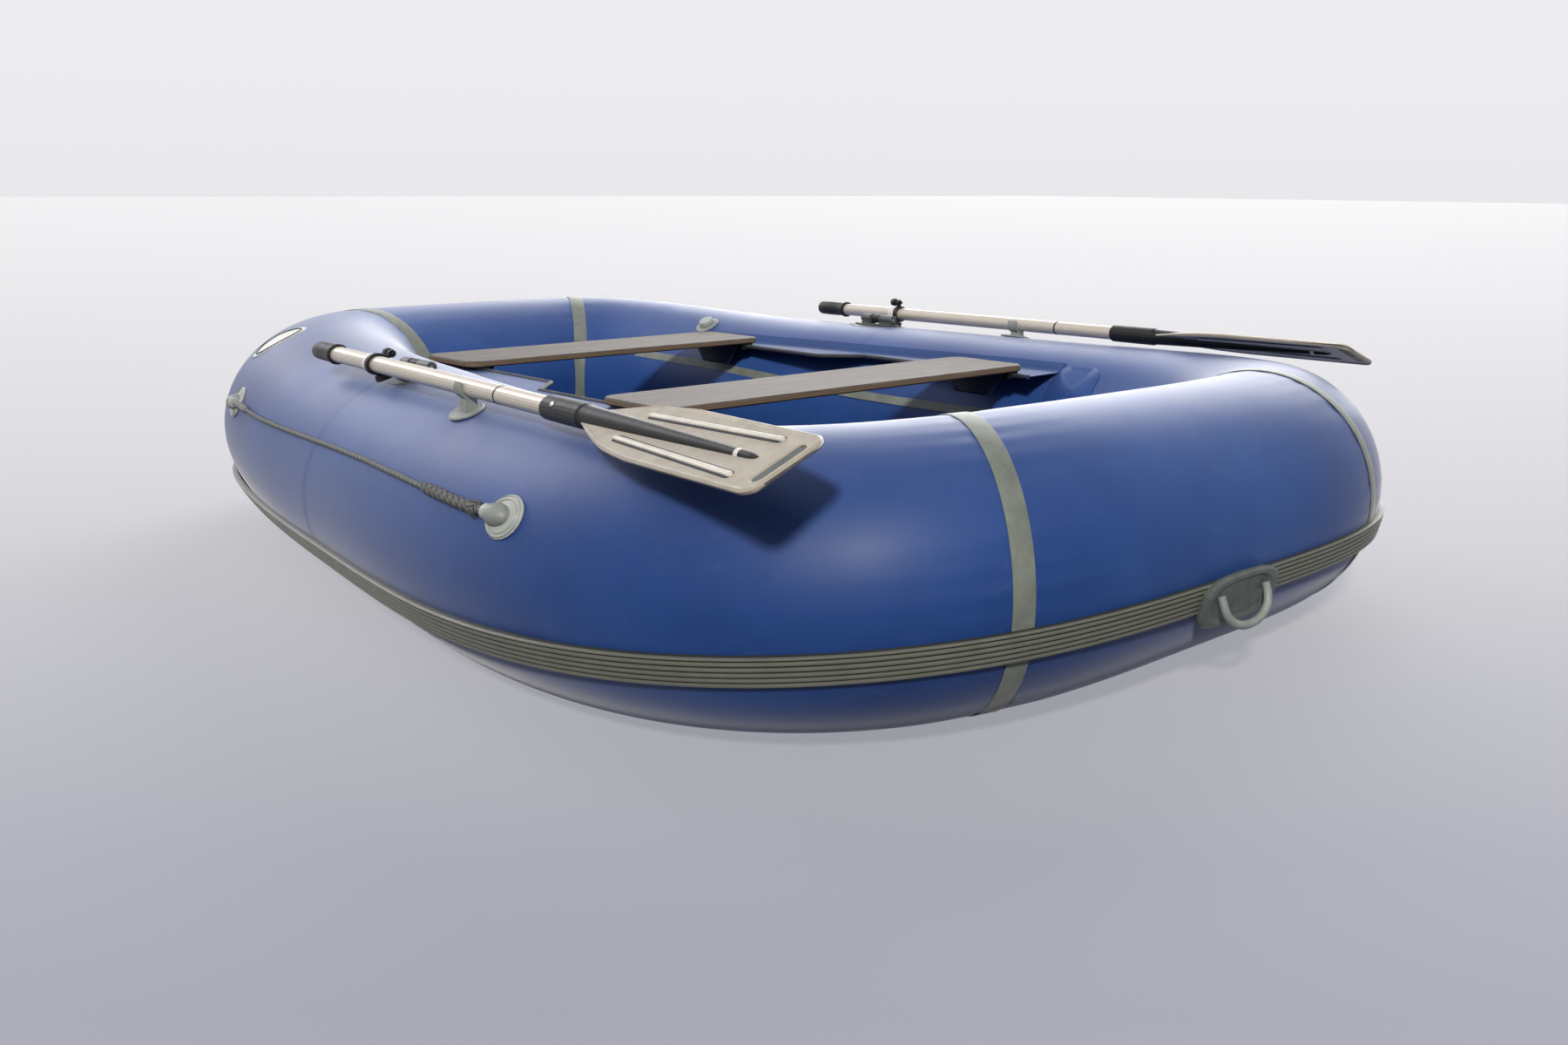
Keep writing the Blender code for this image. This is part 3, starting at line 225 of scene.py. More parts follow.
class Nodes:
    # a small helper round one node tree
    def __init__(self, tree):
        self.tree = tree
        self.coords = self.add("ShaderNodeTexCoord")

    def add(self, kind, inputs=None, **settings):
        node = self.tree.nodes.new(kind)
        for key, value in settings.items():
            setattr(node, key, value)
        self.feed(node, inputs or {})
        return node

    def feed(self, node, inputs):
        # an input takes another node's output, a colour's code or a plain value
        for key, value in inputs.items():
            if isinstance(value, bpy.types.NodeSocket):
                self.tree.links.new(value, node.inputs[key])
            else:
                node.inputs[key].default_value = shade(value) if isinstance(value, str) else value

    def at(self, stretch=(1, 1, 1), source="Object"):
        inputs = {"Vector": self.coords.outputs[source], "Scale": stretch}
        return self.add("ShaderNodeMapping", inputs).outputs[0]

    def speckle(self, scale, detail, rough, distortion=0.0, stretch=(1, 1, 1)):
        inputs = {"Vector": self.at(stretch), "Scale": scale, "Detail": detail, "Roughness": rough,
                  "Distortion": distortion}
        return self.add("ShaderNodeTexNoise", inputs).outputs["Fac"]

    def weave(self, threads, wander):
        # warp and weft over the piece's UV map
        lines = []
        for direction in ("X", "Y"):
            inputs = {"Vector": self.at(source="UV"), "Scale": threads, "Distortion": wander}
            node = self.add("ShaderNodeTexWave", inputs, bands_direction=direction)
            lines.append(node.outputs["Fac"])
        return self.sums("MAXIMUM", *lines)

    def split(self, vector):
        return self.add("ShaderNodeSeparateXYZ", {0: vector}).outputs

    def upward(self):
        # how far the face looks up
        return self.split(self.add("ShaderNodeNewGeometry").outputs["Normal"])[2]

    def along(self, vector, way):
        node = self.add("ShaderNodeVectorMath", {0: vector, 1: way}, operation="DOT_PRODUCT")
        return node.outputs["Value"]

    def ramp(self, value, stops):
        node = self.add("ShaderNodeValToRGB", {"Fac": value})
        marks = node.color_ramp.elements
        while len(marks) < len(stops):
            marks.new(0.5)
        for mark, (place, colour) in zip(marks, stops):
            mark.position = place
            mark.color = shade(colour) if isinstance(colour, str) else (colour, colour, colour, 1)
        return node.outputs["Color"]

    def mix(self, share, a, b, kind="MIX"):
        # sockets 0, 6 and 7 are the share and the two colours
        inputs = {0: share, 6: a, 7: b}
        return self.add("ShaderNodeMix", inputs, data_type="RGBA", blend_type=kind).outputs[2]

    def sums(self, operation, a, b=0.0):
        return self.add("ShaderNodeMath", {0: a, 1: b}, operation=operation).outputs[0]


class Look(Nodes):
    # the nodes of one material round its shader
    def __init__(self, name, roughness=0.5, metallic=0.0):
        self.material = bpy.data.materials.new(name)
        self.material.use_nodes = True
        super().__init__(self.material.node_tree)
        self.shader = self.tree.nodes["Principled BSDF"]
        self.set({"Roughness": roughness, "Metallic": metallic})

    def set(self, inputs):
        self.feed(self.shader, inputs)

    def rough(self, value, low, high):
        node = self.add("ShaderNodeMapRange", {"Value": value, "To Min": low, "To Max": high})
        self.set({"Roughness": node.outputs[0]})

    def relief(self, layers):
        # each layer is (height, distance in metres, strength)
        below = {}
        for height, distance, strength in layers:
            inputs = {"Height": height, "Distance": distance, "Strength": strength, **below}
            below = {"Normal": self.add("ShaderNodeBump", inputs).outputs[0]}
        self.set(below)


blueLook = {"deep": "#183a78", "middle": "#204587", "faded": "#2c5498", "chalk": "#8d9cc2",
            "dustAndSheen": "#aab0cc", "chalkShare": 0.08, "dustAndSheenShare": 0.13, "roughness": (0.42, 0.54),
            "specular": 0.34, "sheen": 0.42}
# a darker copy of the tube's blue, for the floor and the seat flaps: the darkness is painted shade
shadedBlueLook = {"deep": "#0f1830", "middle": "#17213c", "faded": "#222c48", "chalk": "#4c5670",
            "dustAndSheen": "#59617c", "chalkShare": 0.12, "dustAndSheenShare": 0.10, "roughness": (0.52, 0.66),
            "specular": 0.3, "sheen": 0.2}
# a darker copy of the tube's blue for the seat rails: painted shade
shadedRailLook = {"deep": "#1a3768", "middle": "#1f3f78", "faded": "#274a86", "chalk": "#5a6a92",
            "dustAndSheen": "#7886a8", "chalkShare": 0.08, "dustAndSheenShare": 0.06, "roughness": (0.55, 0.68),
            "specular": 0.22, "sheen": 0.1}


# PVC on a polyester cloth, calendered: satin, with a faint thread, and on what faces up a paler bloom that
# is partly dust, partly painted sheen
def coatedFabric(name, made):
    look = Look(name)
    slow = look.speckle(scale=2.3, detail=4, rough=0.6)
    base = look.ramp(slow, [(0.30, made["deep"]), (0.52, made["middle"]), (0.78, made["faded"])])
    scuffs = look.speckle(scale=14, detail=8, rough=0.72, distortion=0.6, stretch=(1, 1, 1.6))
    share = look.sums("MULTIPLY", look.ramp(scuffs, [(0.56, 0.0), (0.82, 1.0)]), made["chalkShare"])
    base = look.mix(share, base, made["chalk"])
    # dust and painted sheen: faces that look up are lightened towards the pale blue-grey
    dustAndSheenUp = look.ramp(look.upward(), [(0.35, 0.0), (0.80, 0.45), (1.0, 1.0)])
    cloud = look.ramp(look.speckle(scale=5.0, detail=6, rough=0.6), [(0.30, 0.55), (0.70, 1.0)])
    share = look.sums("MULTIPLY", look.sums("MULTIPLY", dustAndSheenUp, cloud), made["dustAndSheenShare"])
    look.set({"Base Color": look.mix(share, base, made["dustAndSheen"]), "Specular IOR Level": made["specular"],
              "Sheen Weight": made["sheen"], "Sheen Roughness": 0.32})
    look.rough(look.speckle(scale=9, detail=5, rough=0.65), *made["roughness"])
    threads = look.weave(threads=260, wander=0.4)
    puffs = look.speckle(scale=26, detail=3, rough=0.55)
    look.relief([(puffs, 0.0010, 0.12), (threads, 0.0001, 0.25)])
    return look.material


def tapeFabric(name, dark, light):
    look = Look(name)
    worn = look.speckle(scale=30, detail=6, rough=0.65)
    look.set({"Base Color": look.ramp(worn, [(0.32, dark), (0.72, light)]),
              "Sheen Weight": 0.35, "Sheen Roughness": 0.35})
    look.rough(worn, 0.48, 0.64)
    look.relief([(look.weave(threads=200, wander=0.3), 0.00012, 0.4)])
    return look.material


def mouldedPlastic(name, dark, light, roughness=(0.38, 0.55), grain=900, specular=0.5):
    look = Look(name)
    cloud = look.speckle(scale=38, detail=5, rough=0.6)
    look.set({"Base Color": look.ramp(cloud, [(0.30, dark), (0.74, light)]), "Specular IOR Level": specular})
    look.rough(look.speckle(scale=90, detail=5, rough=0.6), *roughness)
    pores = look.speckle(scale=grain, detail=2, rough=0.5)
    look.relief([(pores, 0.00015, 0.25), (cloud, 0.0004, 0.15)])
    return look.material


def brushedAluminium(name, dark, light, metallic):
    look = Look(name, metallic=metallic)
    streaks = look.speckle(scale=9, detail=4, rough=0.7, stretch=(6, 190, 190))
    look.set({"Base Color": look.ramp(streaks, [(0.30, dark), (0.70, light)])})
    look.rough(streaks, 0.27, 0.46)
    scratches = look.speckle(scale=5, detail=2, rough=0.6, stretch=(30, 420, 420))
    look.relief([(scratches, 0.00008, 0.25)])
    return look.material


# the boards: grey grain above, and the plies on their edges
board = {"bottom": 0.342, "thick": 0.012, "plyPairs": 3.5}


def weatheredPlywood(name):
    look = Look(name)
    grain = look.speckle(scale=7, detail=8, rough=0.62, distortion=0.9, stretch=(30, 1.5, 30))
    fine = look.speckle(scale=4, detail=5, rough=0.7, stretch=(240, 7, 240))
    face = look.ramp(grain, [(0.32, "#2e2723"), (0.44, "#4a423b"), (0.56, "#635a52"), (0.72, "#857b72")])
    pores = look.ramp(fine, [(0.36, 0.45), (0.56, 1.0)])
    face = look.mix(0.75, face, pores, "MULTIPLY")
    height = look.split(look.coords.outputs["Object"])[2]
    layers = look.sums("MULTIPLY", look.sums("SUBTRACT", height, board["bottom"]), 1 / board["thick"])
    ply = look.sums("FRACT", look.sums("MULTIPLY", layers, board["plyPairs"]))
    plies = look.ramp(ply, [(0.0, "#5b4a3a"), (0.45, "#8d7a62"), (0.55, "#4a3c30"), (1.0, "#7b6a55")])
    edge = look.ramp(look.sums("ABSOLUTE", look.upward()), [(0.45, 1.0), (0.7, 0.0)])
    look.set({"Base Color": look.mix(edge, face, plies), "Specular IOR Level": 0.3})
    look.rough(grain, 0.55, 0.75)
    look.relief([(grain, 0.0007, 0.35), (fine, 0.0003, 0.5)])
    return look.material


# strands that wind round a cord, with a painted highlight where they rise and painted shade between them
def twistedFibre(name, dark, light, lay, strands):
    look = Look(name, roughness=0.8)
    along, around = look.split(look.coords.outputs["UV"])[:2]
    wind = look.sums("ADD", look.sums("MULTIPLY", along, 1 / lay), look.sums("MULTIPLY", around, strands))
    # painted highlight on each strand's crown, painted shade in the lay between strands
    rise = [(0.0, 0.0), (0.35, 0.8), (0.60, 1.0), (0.92, 0.1), (1.0, 0.0)]
    strand = look.ramp(look.sums("FRACT", wind), rise)
    fluff = look.speckle(scale=900, detail=3, rough=0.6)
    share = look.sums("MULTIPLY", strand, look.ramp(fluff, [(0.35, 0.45), (0.65, 1.0)]))
    look.set({"Base Color": look.mix(share, dark, light)})
    look.relief([(strand, 0.0006, 0.6), (fluff, 0.0003, 0.5)])
    return look.material


# rubbing strake: a foot of three points, five ribs of six, and a top bead
strake = {"inner": 0.0012, "thick": 0.0090, "joint": 0.30, "top": -0.36, "bottom": -0.567, "lean": 0.15,
          "ribs": 5, "pitch": 5.6, "footPoints": 3.0, "ribPoints": 6, "perMetre": 90, "wide": 0.055,
          "smooth": 35}


def strakeOutline():
    # each point is (share from low edge to top edge, height)
    outline = [(0.0, 0.0), (0.0, 0.55), (0.012, 0.75)]
    for k in range(strake["ribs"]):
        a, b = (k + 0.10) / strake["pitch"], (k + 1.0) / strake["pitch"]
        outline += [(a + 0.020, 0.93), (a + 0.06, 1.0), (b - 0.07, 1.0)]
        outline += [(b - 0.030, 0.93), (b - 0.012, 0.70), (b + 0.004, 0.70)]
    outline += [(0.93, 0.97), (0.955, 1.0), (0.975, 0.97), (0.992, 0.75), (1.0, 0.45)]
    outline += [(1.0, 0.0), (0.66, 0.0), (0.33, 0.0), (0.0, 0.0)]
    return np.array(outline)


strakeSection = strakeOutline()
strakeEdges = len(strakeSection) - 1


# ribbed rubber: painted shade darkens the grooves, the rib tops keep the lighter colour
def ribbedRubber(name, dark, light):
    look = Look(name)
    across = look.split(look.coords.outputs["UV"])[1]
    point = look.sums("MULTIPLY", across, strakeEdges / strake["wide"])
    rib = look.sums("MULTIPLY", look.sums("SUBTRACT", point, strake["footPoints"]), 1 / strake["ribPoints"])
    # painted shade in each groove, lighter on each rib's top
    grooveShadeStops = [(0.0, 0.3), (0.12, 1.0), (0.52, 0.85), (0.64, 0.0), (0.86, 0.0), (1.0, 0.3)]
    groove = look.ramp(look.sums("FRACT", rib), grooveShadeStops)
    cloud = look.ramp(look.speckle(scale=24, detail=6, rough=0.65), [(0.30, 0.72), (0.70, 1.0)])
    look.set({"Base Color": look.mix(look.sums("MULTIPLY", groove, cloud), dark, light)})
    look.rough(look.speckle(scale=60, detail=5, rough=0.6), 0.42, 0.60)
    look.relief([(look.speckle(scale=500, detail=2, rough=0.5), 0.00015, 0.25)])
    return look.material


blueFabric = coatedFabric("blueCoatedFabric", blueLook)
# the rail fabric: the tube's blue with painted shade
shadedRailFabric = coatedFabric("shadedRailFabric", shadedRailLook)
# the floor and flap fabric: the tube's blue with painted shade
shadedBlueFabric = coatedFabric("paintedShadeBlueFabric", shadedBlueLook)
tapeGrey = tapeFabric("seamTapeGrey", "#676e69", "#838b83")
strakeRubber = ribbedRubber("strakeRubber", "#30322d", "#777970")
edgeRubber = mouldedPlastic("edgeRubber", "#2a2d33", "#3f434b", (0.55, 0.70), specular=0.25)
paleMoulded = mouldedPlastic("palePlastic", "#a3aaa8", "#bcc2bf")
greyMoulded = mouldedPlastic("greyPlastic", "#7b827f", "#959c98")
darkMoulded = mouldedPlastic("darkGreyPlastic", "#3b3f3f", "#505454")
blackMoulded = mouldedPlastic("blackPlastic", "#0c0d0e", "#191a1c", (0.40, 0.58), specular=0.32)
whiteVinyl = mouldedPlastic("whiteVinyl", "#d2d5d2", "#eceeea", (0.36, 0.5))
padGrey = mouldedPlastic("padGrey", "#4b524f", "#646c69")
handleGrey = mouldedPlastic("handleGrey", "#7d8885", "#99a3a0")
bladePlastic = mouldedPlastic("bladePlastic", "#a39c90", "#bbb4a7", (0.36, 0.50), 600)
ribPaintedHighlight = mouldedPlastic("ribPaintedHighlight", "#c4bfb4", "#dedad0", (0.26, 0.38), 600)
aluminium = brushedAluminium("brushedAluminium", "#a3a6aa", "#d3d5d7", 0.9)
satinShaft = brushedAluminium("satinShaft", "#b7b0a3", "#d3ccc0", 0.35)
plywood = weatheredPlywood("weatheredPlywood")
ropeFibre = twistedFibre("ropeFibre", "#18191b", "#a9acae", 0.006, 3)
braidFibre = twistedFibre("braidFibre", "#08090a", "#8f9294", 0.0065, 3)
spliceGrey = mouldedPlastic("spliceGrey", "#6b6f70", "#8a8e8e", (0.6, 0.8), 1500)
print("materials made")


# lifeline on the port side, from the bow holder to the aft one
lifeline = {"thin": 0.004, "lay": 0.009, "strands": 3, "groove": 0.16, "bow": 0.738, "aft": -0.633,
            "angleX": [-0.64, -0.55, -0.44, -0.30, -0.14, 0.05, 0.26, 0.50, 0.74],
            "angle": [27, 27.6, 29, 29.6, 29.4, 27.8, 25.4, 22.4, 21],
            "tipAhead": 0.030, "tipLift": 0.0112, "tipBack": 0.006, "backLift": 0.0102, "straight": 0.007,
            "margin": 0.020, "settle": 0.05, "clear": 0.0015, "swell": 0.0026, "swellLong": 0.18,
            "stations": 62, "points": 1100, "around": 18}


def ropeAngle(x):
    return float(np.interp(x, lifeline["angleX"], lifeline["angle"]))


def ropePoint(x, degrees, lift):
    return Vector(skinPoint(runUnder(x, degrees), degrees, tubeR + lift))


def ropeTip(x, way):
    ahead = x - way * lifeline["tipAhead"]
    tip = ropePoint(ahead, ropeAngle(ahead), lifeline["tipLift"])
    back = ropePoint(x + way * lifeline["tipBack"], ropeAngle(x), lifeline["backLift"])
    return tip, (tip - back).normalized()


def ropeRoute():
    tipBow, wayBow = ropeTip(lifeline["bow"], 1)
    tipAft, wayAft = ropeTip(lifeline["aft"], -1)
    low, high = tipAft.x, tipBow.x
    straight, margin = lifeline["straight"], lifeline["margin"]
    lying = lifeline["thin"] + lifeline["clear"]
    rise = lifeline["tipLift"] - lifeline["thin"] - lifeline["clear"]
    route = [tipBow, tipBow + wayBow * straight]
    for x in np.linspace(high - margin, low + margin, lifeline["stations"]):
        near = min(1.0, min(high - x, x - low) / lifeline["settle"])
        nearAft = min(1.0, (x - low) / lifeline["swellLong"])
        lift = lying + rise * (1 - near) + lifeline["swell"] * (1 - nearAft)
        route.append(ropePoint(float(x), ropeAngle(x), lift))
    route += [tipAft + wayAft * straight, tipAft]
    return route


def smoothLine(points, count):
    p = np.array([list(q) for q in points])
    run = np.concatenate([[0], np.cumsum(np.linalg.norm(np.diff(p, axis=0), axis=1))])
    at = np.linspace(0, run[-1], count)
    return np.stack([np.interp(at, run, p[:, k]) for k in range(3)], -1), float(run[-1])


def tubeAlong(name, line, radius, around, uvLong, wobble=None):
    # a mesh tube round a line of points, with the cord's own length in its UV map
    count = len(line) - 1
    nearlyUp = [0.0, 0.05, 1.0]
    tangent = np.gradient(line, axis=0)
    tangent /= np.linalg.norm(tangent, axis=1)[:, None]
    side = np.cross(tangent, nearlyUp)
    side /= np.linalg.norm(side, axis=1)[:, None]
    top = np.cross(side, tangent)

    def place(u, v):
        k = np.clip(np.rint(u * count).astype(int), 0, count)
        a = 2 * math.pi * v
        r = radius(u) if callable(radius) else radius
        if wobble:
            r = r * wobble(u, a)
        r = np.asarray(r * np.ones(len(u)))[:, None]
        return line[k] + side[k] * np.cos(a)[:, None] * r + top[k] * np.sin(a)[:, None] * r

    return gridPiece(name, place, count, around, (uvLong, 1.0), closeAcross=True)


ropeLine, ropeLong = smoothLine(ropeRoute(), lifeline["points"])


def twisted(u, a):
    strand = lifeline["strands"] / 2 * a
    return 1 - lifeline["groove"] * np.abs(np.cos(strand + math.pi * ropeLong * u / lifeline["lay"]))


rope = tubeAlong("lifeline_rope", ropeLine, lifeline["thin"], lifeline["around"], ropeLong, twisted)
dress(rope, ropeFibre, "hull", ["lifeline"])


# its splices: a braided black one at the aft holder, a grey sleeve at the bow one
splices = {"stations": 260, "around": 24, "endSteepness": 12, "endPower": 0.6, "low": 0.93, "weave": 0.17,
           "strands": 3}


def splice(name, low, high, radius, ends, weave, material):
    share = np.linspace(0, 1, len(ropeLine))
    at = np.linspace(low, high, splices["stations"]) / ropeLong
    line = np.stack([np.interp(at, share, ropeLine[:, k]) for k in range(3)], -1)
    strand = splices["strands"] / 2

    def thickness(u):
        fromEnd = np.clip(np.minimum(u, 1 - u) * splices["endSteepness"], 0, 1)
        return radius * (ends + (1 - ends) * fromEnd ** splices["endPower"])

    def woven(u, a):
        turn = 2 * math.pi * (high - low) * u / weave
        crossing = np.abs(np.sin(strand * a - turn))
        return splices["low"] + splices["weave"] * np.abs(np.sin(strand * a + turn)) * crossing

    piece = tubeAlong(name, line, thickness, splices["around"], high - low, woven)
    return dress(piece, material)


splice("splice_aft", low=ropeLong - 0.205, high=ropeLong - 0.008, radius=0.0070, ends=0.72,
       weave=0.020, material=braidFibre)
splice("splice_bow", low=0.006, high=0.085, radius=0.0060, ends=0.75, weave=0.024, material=spliceGrey)


# the hitch round the splice at the aft holder: two leaning rings
hitch = {"back": (0.026, 0.036), "radius": 0.0072, "thin": 0.0032, "lean": 0.003, "points": 49,
         "around": 10, "long": 0.045, "bearing": 6}


def hitchLine(number, back):
    at = int(len(ropeLine) * (1 - back / ropeLong))
    middle = Vector(ropeLine[at])
    way = Vector(ropeLine[at + hitch["bearing"]] - ropeLine[at - hitch["bearing"]]).normalized()
    side = way.cross(Vector((0, 0.2, 1))).normalized()
    top = side.cross(way)
    line = []
    for a in np.linspace(0, 2 * math.pi, hitch["points"]):
        out = (side * math.cos(a) + top * math.sin(a)) * hitch["radius"]
        line.append(list(middle + out + way * (hitch["lean"] * math.sin(a + number))))
    return np.array(line)


for number, back in enumerate(hitch["back"]):
    line = hitchLine(number, back)
    dress(tubeAlong(f"hitch_{number}", line, hitch["thin"], hitch["around"], hitch["long"]), braidFibre)
print("lifeline laid,", round(ropeLong, 3), "m")


# the holders' hoods, over the end of the rope
hood = {"long": 0.0215, "wide": 0.0150, "high": 0.0185, "ahead": 0.006, "seat": 0.0030, "power": 0.75,
        "lopsided": 0.18, "steps": (40, 32), "cloth": (0.05, 0.05)}


def hoodPlace(x, way):
    angle = ropeAngle(x)
    seat = np.array(skinPoint(runUnder(x, angle), angle, tubeR + hood["seat"]))
    inner = np.array(skinPoint(runUnder(x, angle), angle, tubeR))
    up = (seat - inner) / np.linalg.norm(seat - inner)
    ahead = np.array(ropeTip(x, way)[1])
    ahead = ahead - up * ahead.dot(up)
    ahead /= np.linalg.norm(ahead)
    across = np.cross(up, ahead)

    def place(u, v):
        t, a = math.pi * u, math.pi * v
        swell = np.sin(t) ** hood["power"] * (1 + hood["lopsided"] * np.cos(t))
        forward = (hood["ahead"] + hood["long"] * np.cos(t))[:, None] * ahead
        sideways = (hood["wide"] * swell * np.cos(a))[:, None] * across
        return seat + (forward + sideways + (hood["high"] * swell * np.sin(a))[:, None] * up)
    return place


for word, x, way in (("bow", lifeline["bow"], 1), ("aft", lifeline["aft"], -1)):
    piece = gridPiece("holder_hood_" + word, hoodPlace(x, way), *hood["steps"], hood["cloth"])
    dress(piece, greyMoulded)
print("holders hooded")


# tubes, puckered at their seams and gently uneven between them by a few crossing waves
tubes = {"around": 176, "perMetre": 130, "pucker": 0.0014, "puckerReach": 0.05, "swell": 0.0008,
         "inset": 0.0006, "lapX": 0.12, "lap": 0.0009, "lapEdge": 0.006, "clear": 0.0003, "smooth": 60,
         "fineFolds": 31, "wideFolds": 19, "drift": 5}
lapRun = runAtX(tubes["lapX"])


def tubeSkin(low, high, side):
    def place(u, v):
        s = low + (high - low) * u
        degrees = -90 + 360 * v
        a = np.radians(degrees)
        near = np.minimum(s - low, high - s) / tubes["puckerReach"]
        fine = np.sin(tubes["fineFolds"] * a + 2.1 * np.sin(tubes["drift"] * a))
        folds = fine * 0.6 + np.sin(tubes["wideFolds"] * a + 1.3) * 0.4
        strength = np.exp(-near) * (0.4 + 0.6 * np.sin(3 * a + 7 * low) ** 2)
        bump = tubes["pucker"] * folds * strength * np.minimum(1, near * 6 + 0.25)
        swell = tubes["swell"] * (np.sin(5.3 * s + 1.7 * np.cos(a)) + np.sin(9.1 * s + 2 * a))
        lap = 0.0
        if low < lapRun < high:
            upTo = 1 - np.clip((s - lapRun) / tubes["lapEdge"], 0, 1)
            lap = tubes["lap"] * upTo * np.clip(near / 0.5, 0, 1)
        r = tubeR + bump + swell * np.minimum(1, near * 0.7) - tubes["inset"] + lap
        p = skinPoint(s, degrees, r)
        p[:, 1] *= side
        p[:, 2] = np.maximum(p[:, 2], tubes["clear"])
        return p
    return place


for name, low, high, side in (("tube_bow", -bowSeam + slit, bowSeam - slit, 1),
                              ("tube_port", bowSeam + slit, sternSeam - slit, 1),
                              ("tube_starboard", bowSeam + slit, sternSeam - slit, -1),
                              ("tube_stern", sternSeam + slit, 2 * half - sternSeam - slit, 1)):
    along = round((high - low) * tubes["perMetre"])
    skin = gridPiece(name + "_skin", tubeSkin(low, high, side), along, tubes["around"],
                     (high - low, tubeRound), closeAcross=True, smooth=tubes["smooth"])
    dress(skin, blueFabric, "hull", [name])
print("tubes blown up")


# seam tapes round the joints, each one width nearly all the way round
tape = {"half": 0.015, "zone": 0.024, "most": 2.6, "thick": 0.0008, "lift": 0.0004, "clear": 0.0001,
        "across": [-1, -0.99, -0.93, 0, 0.93, 0.99, 1], "rise": [0, 0.75, 1, 1, 1, 0.75, 0],
        "topEdges": 6, "edges": 8, "around": 176, "cloth": (1.19, 0.06), "smooth": 50}


def bandPlace(seam, side):
    def place(u, v):
        # u runs round the tube, v once round the tape's own thin section
        w = v * tape["edges"]
        onTop = w <= tape["topEdges"]
        across = np.where(onTop, np.interp(w, range(7), tape["across"]), 7 - w)
        rise = np.where(onTop, np.interp(w, range(7), tape["rise"]), 0)
        degrees = -90 + 360 * u
        middle = skinPoint(np.full(len(u), seam), degrees, tubeR)
        way = np.where(across < 0, -1.0, 1.0)
        far = skinPoint(seam + way * tape["zone"], degrees, tubeR)
        share = np.minimum(tape["most"], tape["half"] / np.linalg.norm(far - middle, axis=1))
        reach = share * tape["zone"]
        p = skinPoint(seam + across * reach, degrees, tubeR + tape["lift"] + tape["thick"] * rise)
        p[:, 1] *= side
        p[:, 2] = np.maximum(p[:, 2], tape["clear"])
        return p
    return place


for word, seam in (("bow", bowSeam), ("stern", sternSeam)):
    for sideWord, side in bothSides:
        name = f"{word}_{sideWord}"
        piece = gridPiece("tape_" + name, bandPlace(seam, side), tape["around"], tape["edges"],
                          tape["cloth"], closeAcross=True, closeAlong=True, smooth=tape["smooth"])
        dress(piece, tapeGrey, "hull", ["seam_tape_" + name])
print("seam tapes laid")


# the strake itself, in two lengths
def strakePlace(low, high):
    steps = np.arange(len(strakeSection)) / strakeEdges

    def place(u, v):
        s = low + (high - low) * u
        x = centreOf(s)[0]
        top = np.degrees(strake["top"] - strake["lean"] * x)
        bottom = np.degrees(strake["bottom"] - strake["lean"] * x)
        share = np.interp(v, steps, strakeSection[:, 0])
        h = np.interp(v, steps, strakeSection[:, 1])
        radius = tubeR + strake["inner"] + strake["thick"] * h
        return skinPoint(s, bottom + (top - bottom) * share, radius)
    return place


joint = runAtX(strake["joint"])
for name, low, high in (("strake_bow", -joint + slit, joint - slit),
                        ("strake_stern", joint + slit, 2 * half - joint - slit)):
    along = round((high - low) * strake["perMetre"])
    piece = gridPiece(name + "_rubber", strakePlace(low, high), along, strakeEdges,
                      (high - low, strake["wide"]), closeAcross=True, smooth=strake["smooth"])
    dress(piece, strakeRubber, "hull", [name])
print("strakes fitted")


# floor sheet, its rim turned round under the tubes, in the darker copy of the blue: painted shade
floorSheet = {"inner": 0.0016, "thick": 0.0010, "angle": -112, "rimTurn": 9, "rimFrom": 0.9, "rim": 0.1,
              "steps": (160, 40), "cloth": (2.0, 1.0)}


def floorPlace(u, v):
    s = half * u
    across = 2 * v - 1
    w = np.abs(across)
    inRim = w > floorSheet["rimFrom"]
    pastRim = w - floorSheet["rimFrom"]
    rimAngle = floorSheet["angle"] + floorSheet["rimTurn"] * pastRim / floorSheet["rim"]
    degrees = np.where(inRim, rimAngle, floorSheet["angle"])
    p = skinPoint(s, degrees, tubeR + floorSheet["inner"] + floorSheet["thick"] / 2)
    share = np.where(inRim, 1.0, w / floorSheet["rimFrom"])
    return np.stack([p[:, 0], np.sign(across) * p[:, 1] * share, p[:, 2]], -1)


floor = gridPiece("floor_cloth", floorPlace, *floorSheet["steps"], floorSheet["cloth"])
thicken(floor, floorSheet["thick"], 0)
dress(floor, shadedBlueFabric, "hull", ["floor"])


# oars: the same axes as the solids, written for port and mirrored in y
oars = {"port": {"side": 1, "grip": (0.335, 0.593, 0.401), "splay": 0.056, "roll": math.radians(25)},
        "starboard": {"side": -1, "grip": (0.455, 0.567, 0.401), "splay": 0.036, "roll": math.radians(22)}}
blade = {"root": 1.028, "end": 1.485, "half": 0.056, "corner": 0.022, "plate": 0.0021, "edge": 0.0012,
         "edgeShare": 0.3, "crowding": 1.5, "steps": (190, 192), "cloth": (0.457, 0.23), "spineSteps": 60,
         "lip": 0.0022, "lipFrom": 0.03, "lipGrow": 0.05, "lipIn": 0.0034, "lipWide": 0.0018,
         "slotFromEnd": 0.021, "slotHalf": 0.037, "slotWide": 0.0092, "slotDeep": 0.0015,
         "widths": ([0, 0.012, 0.030, 0.055, 0.085, 0.120, 0.155, 0.190, 0.5],
                    [0.0145, 0.018, 0.024, 0.032, 0.041, 0.049, 0.053, 0.056, 0.056]),
         "spine": ([-0.012, 0.0, 0.05, 0.11, 0.25, 0.385, 0.395],
                   [0.0156, 0.0150, 0.0140, 0.0128, 0.0094, 0.0058, 0.0030])}
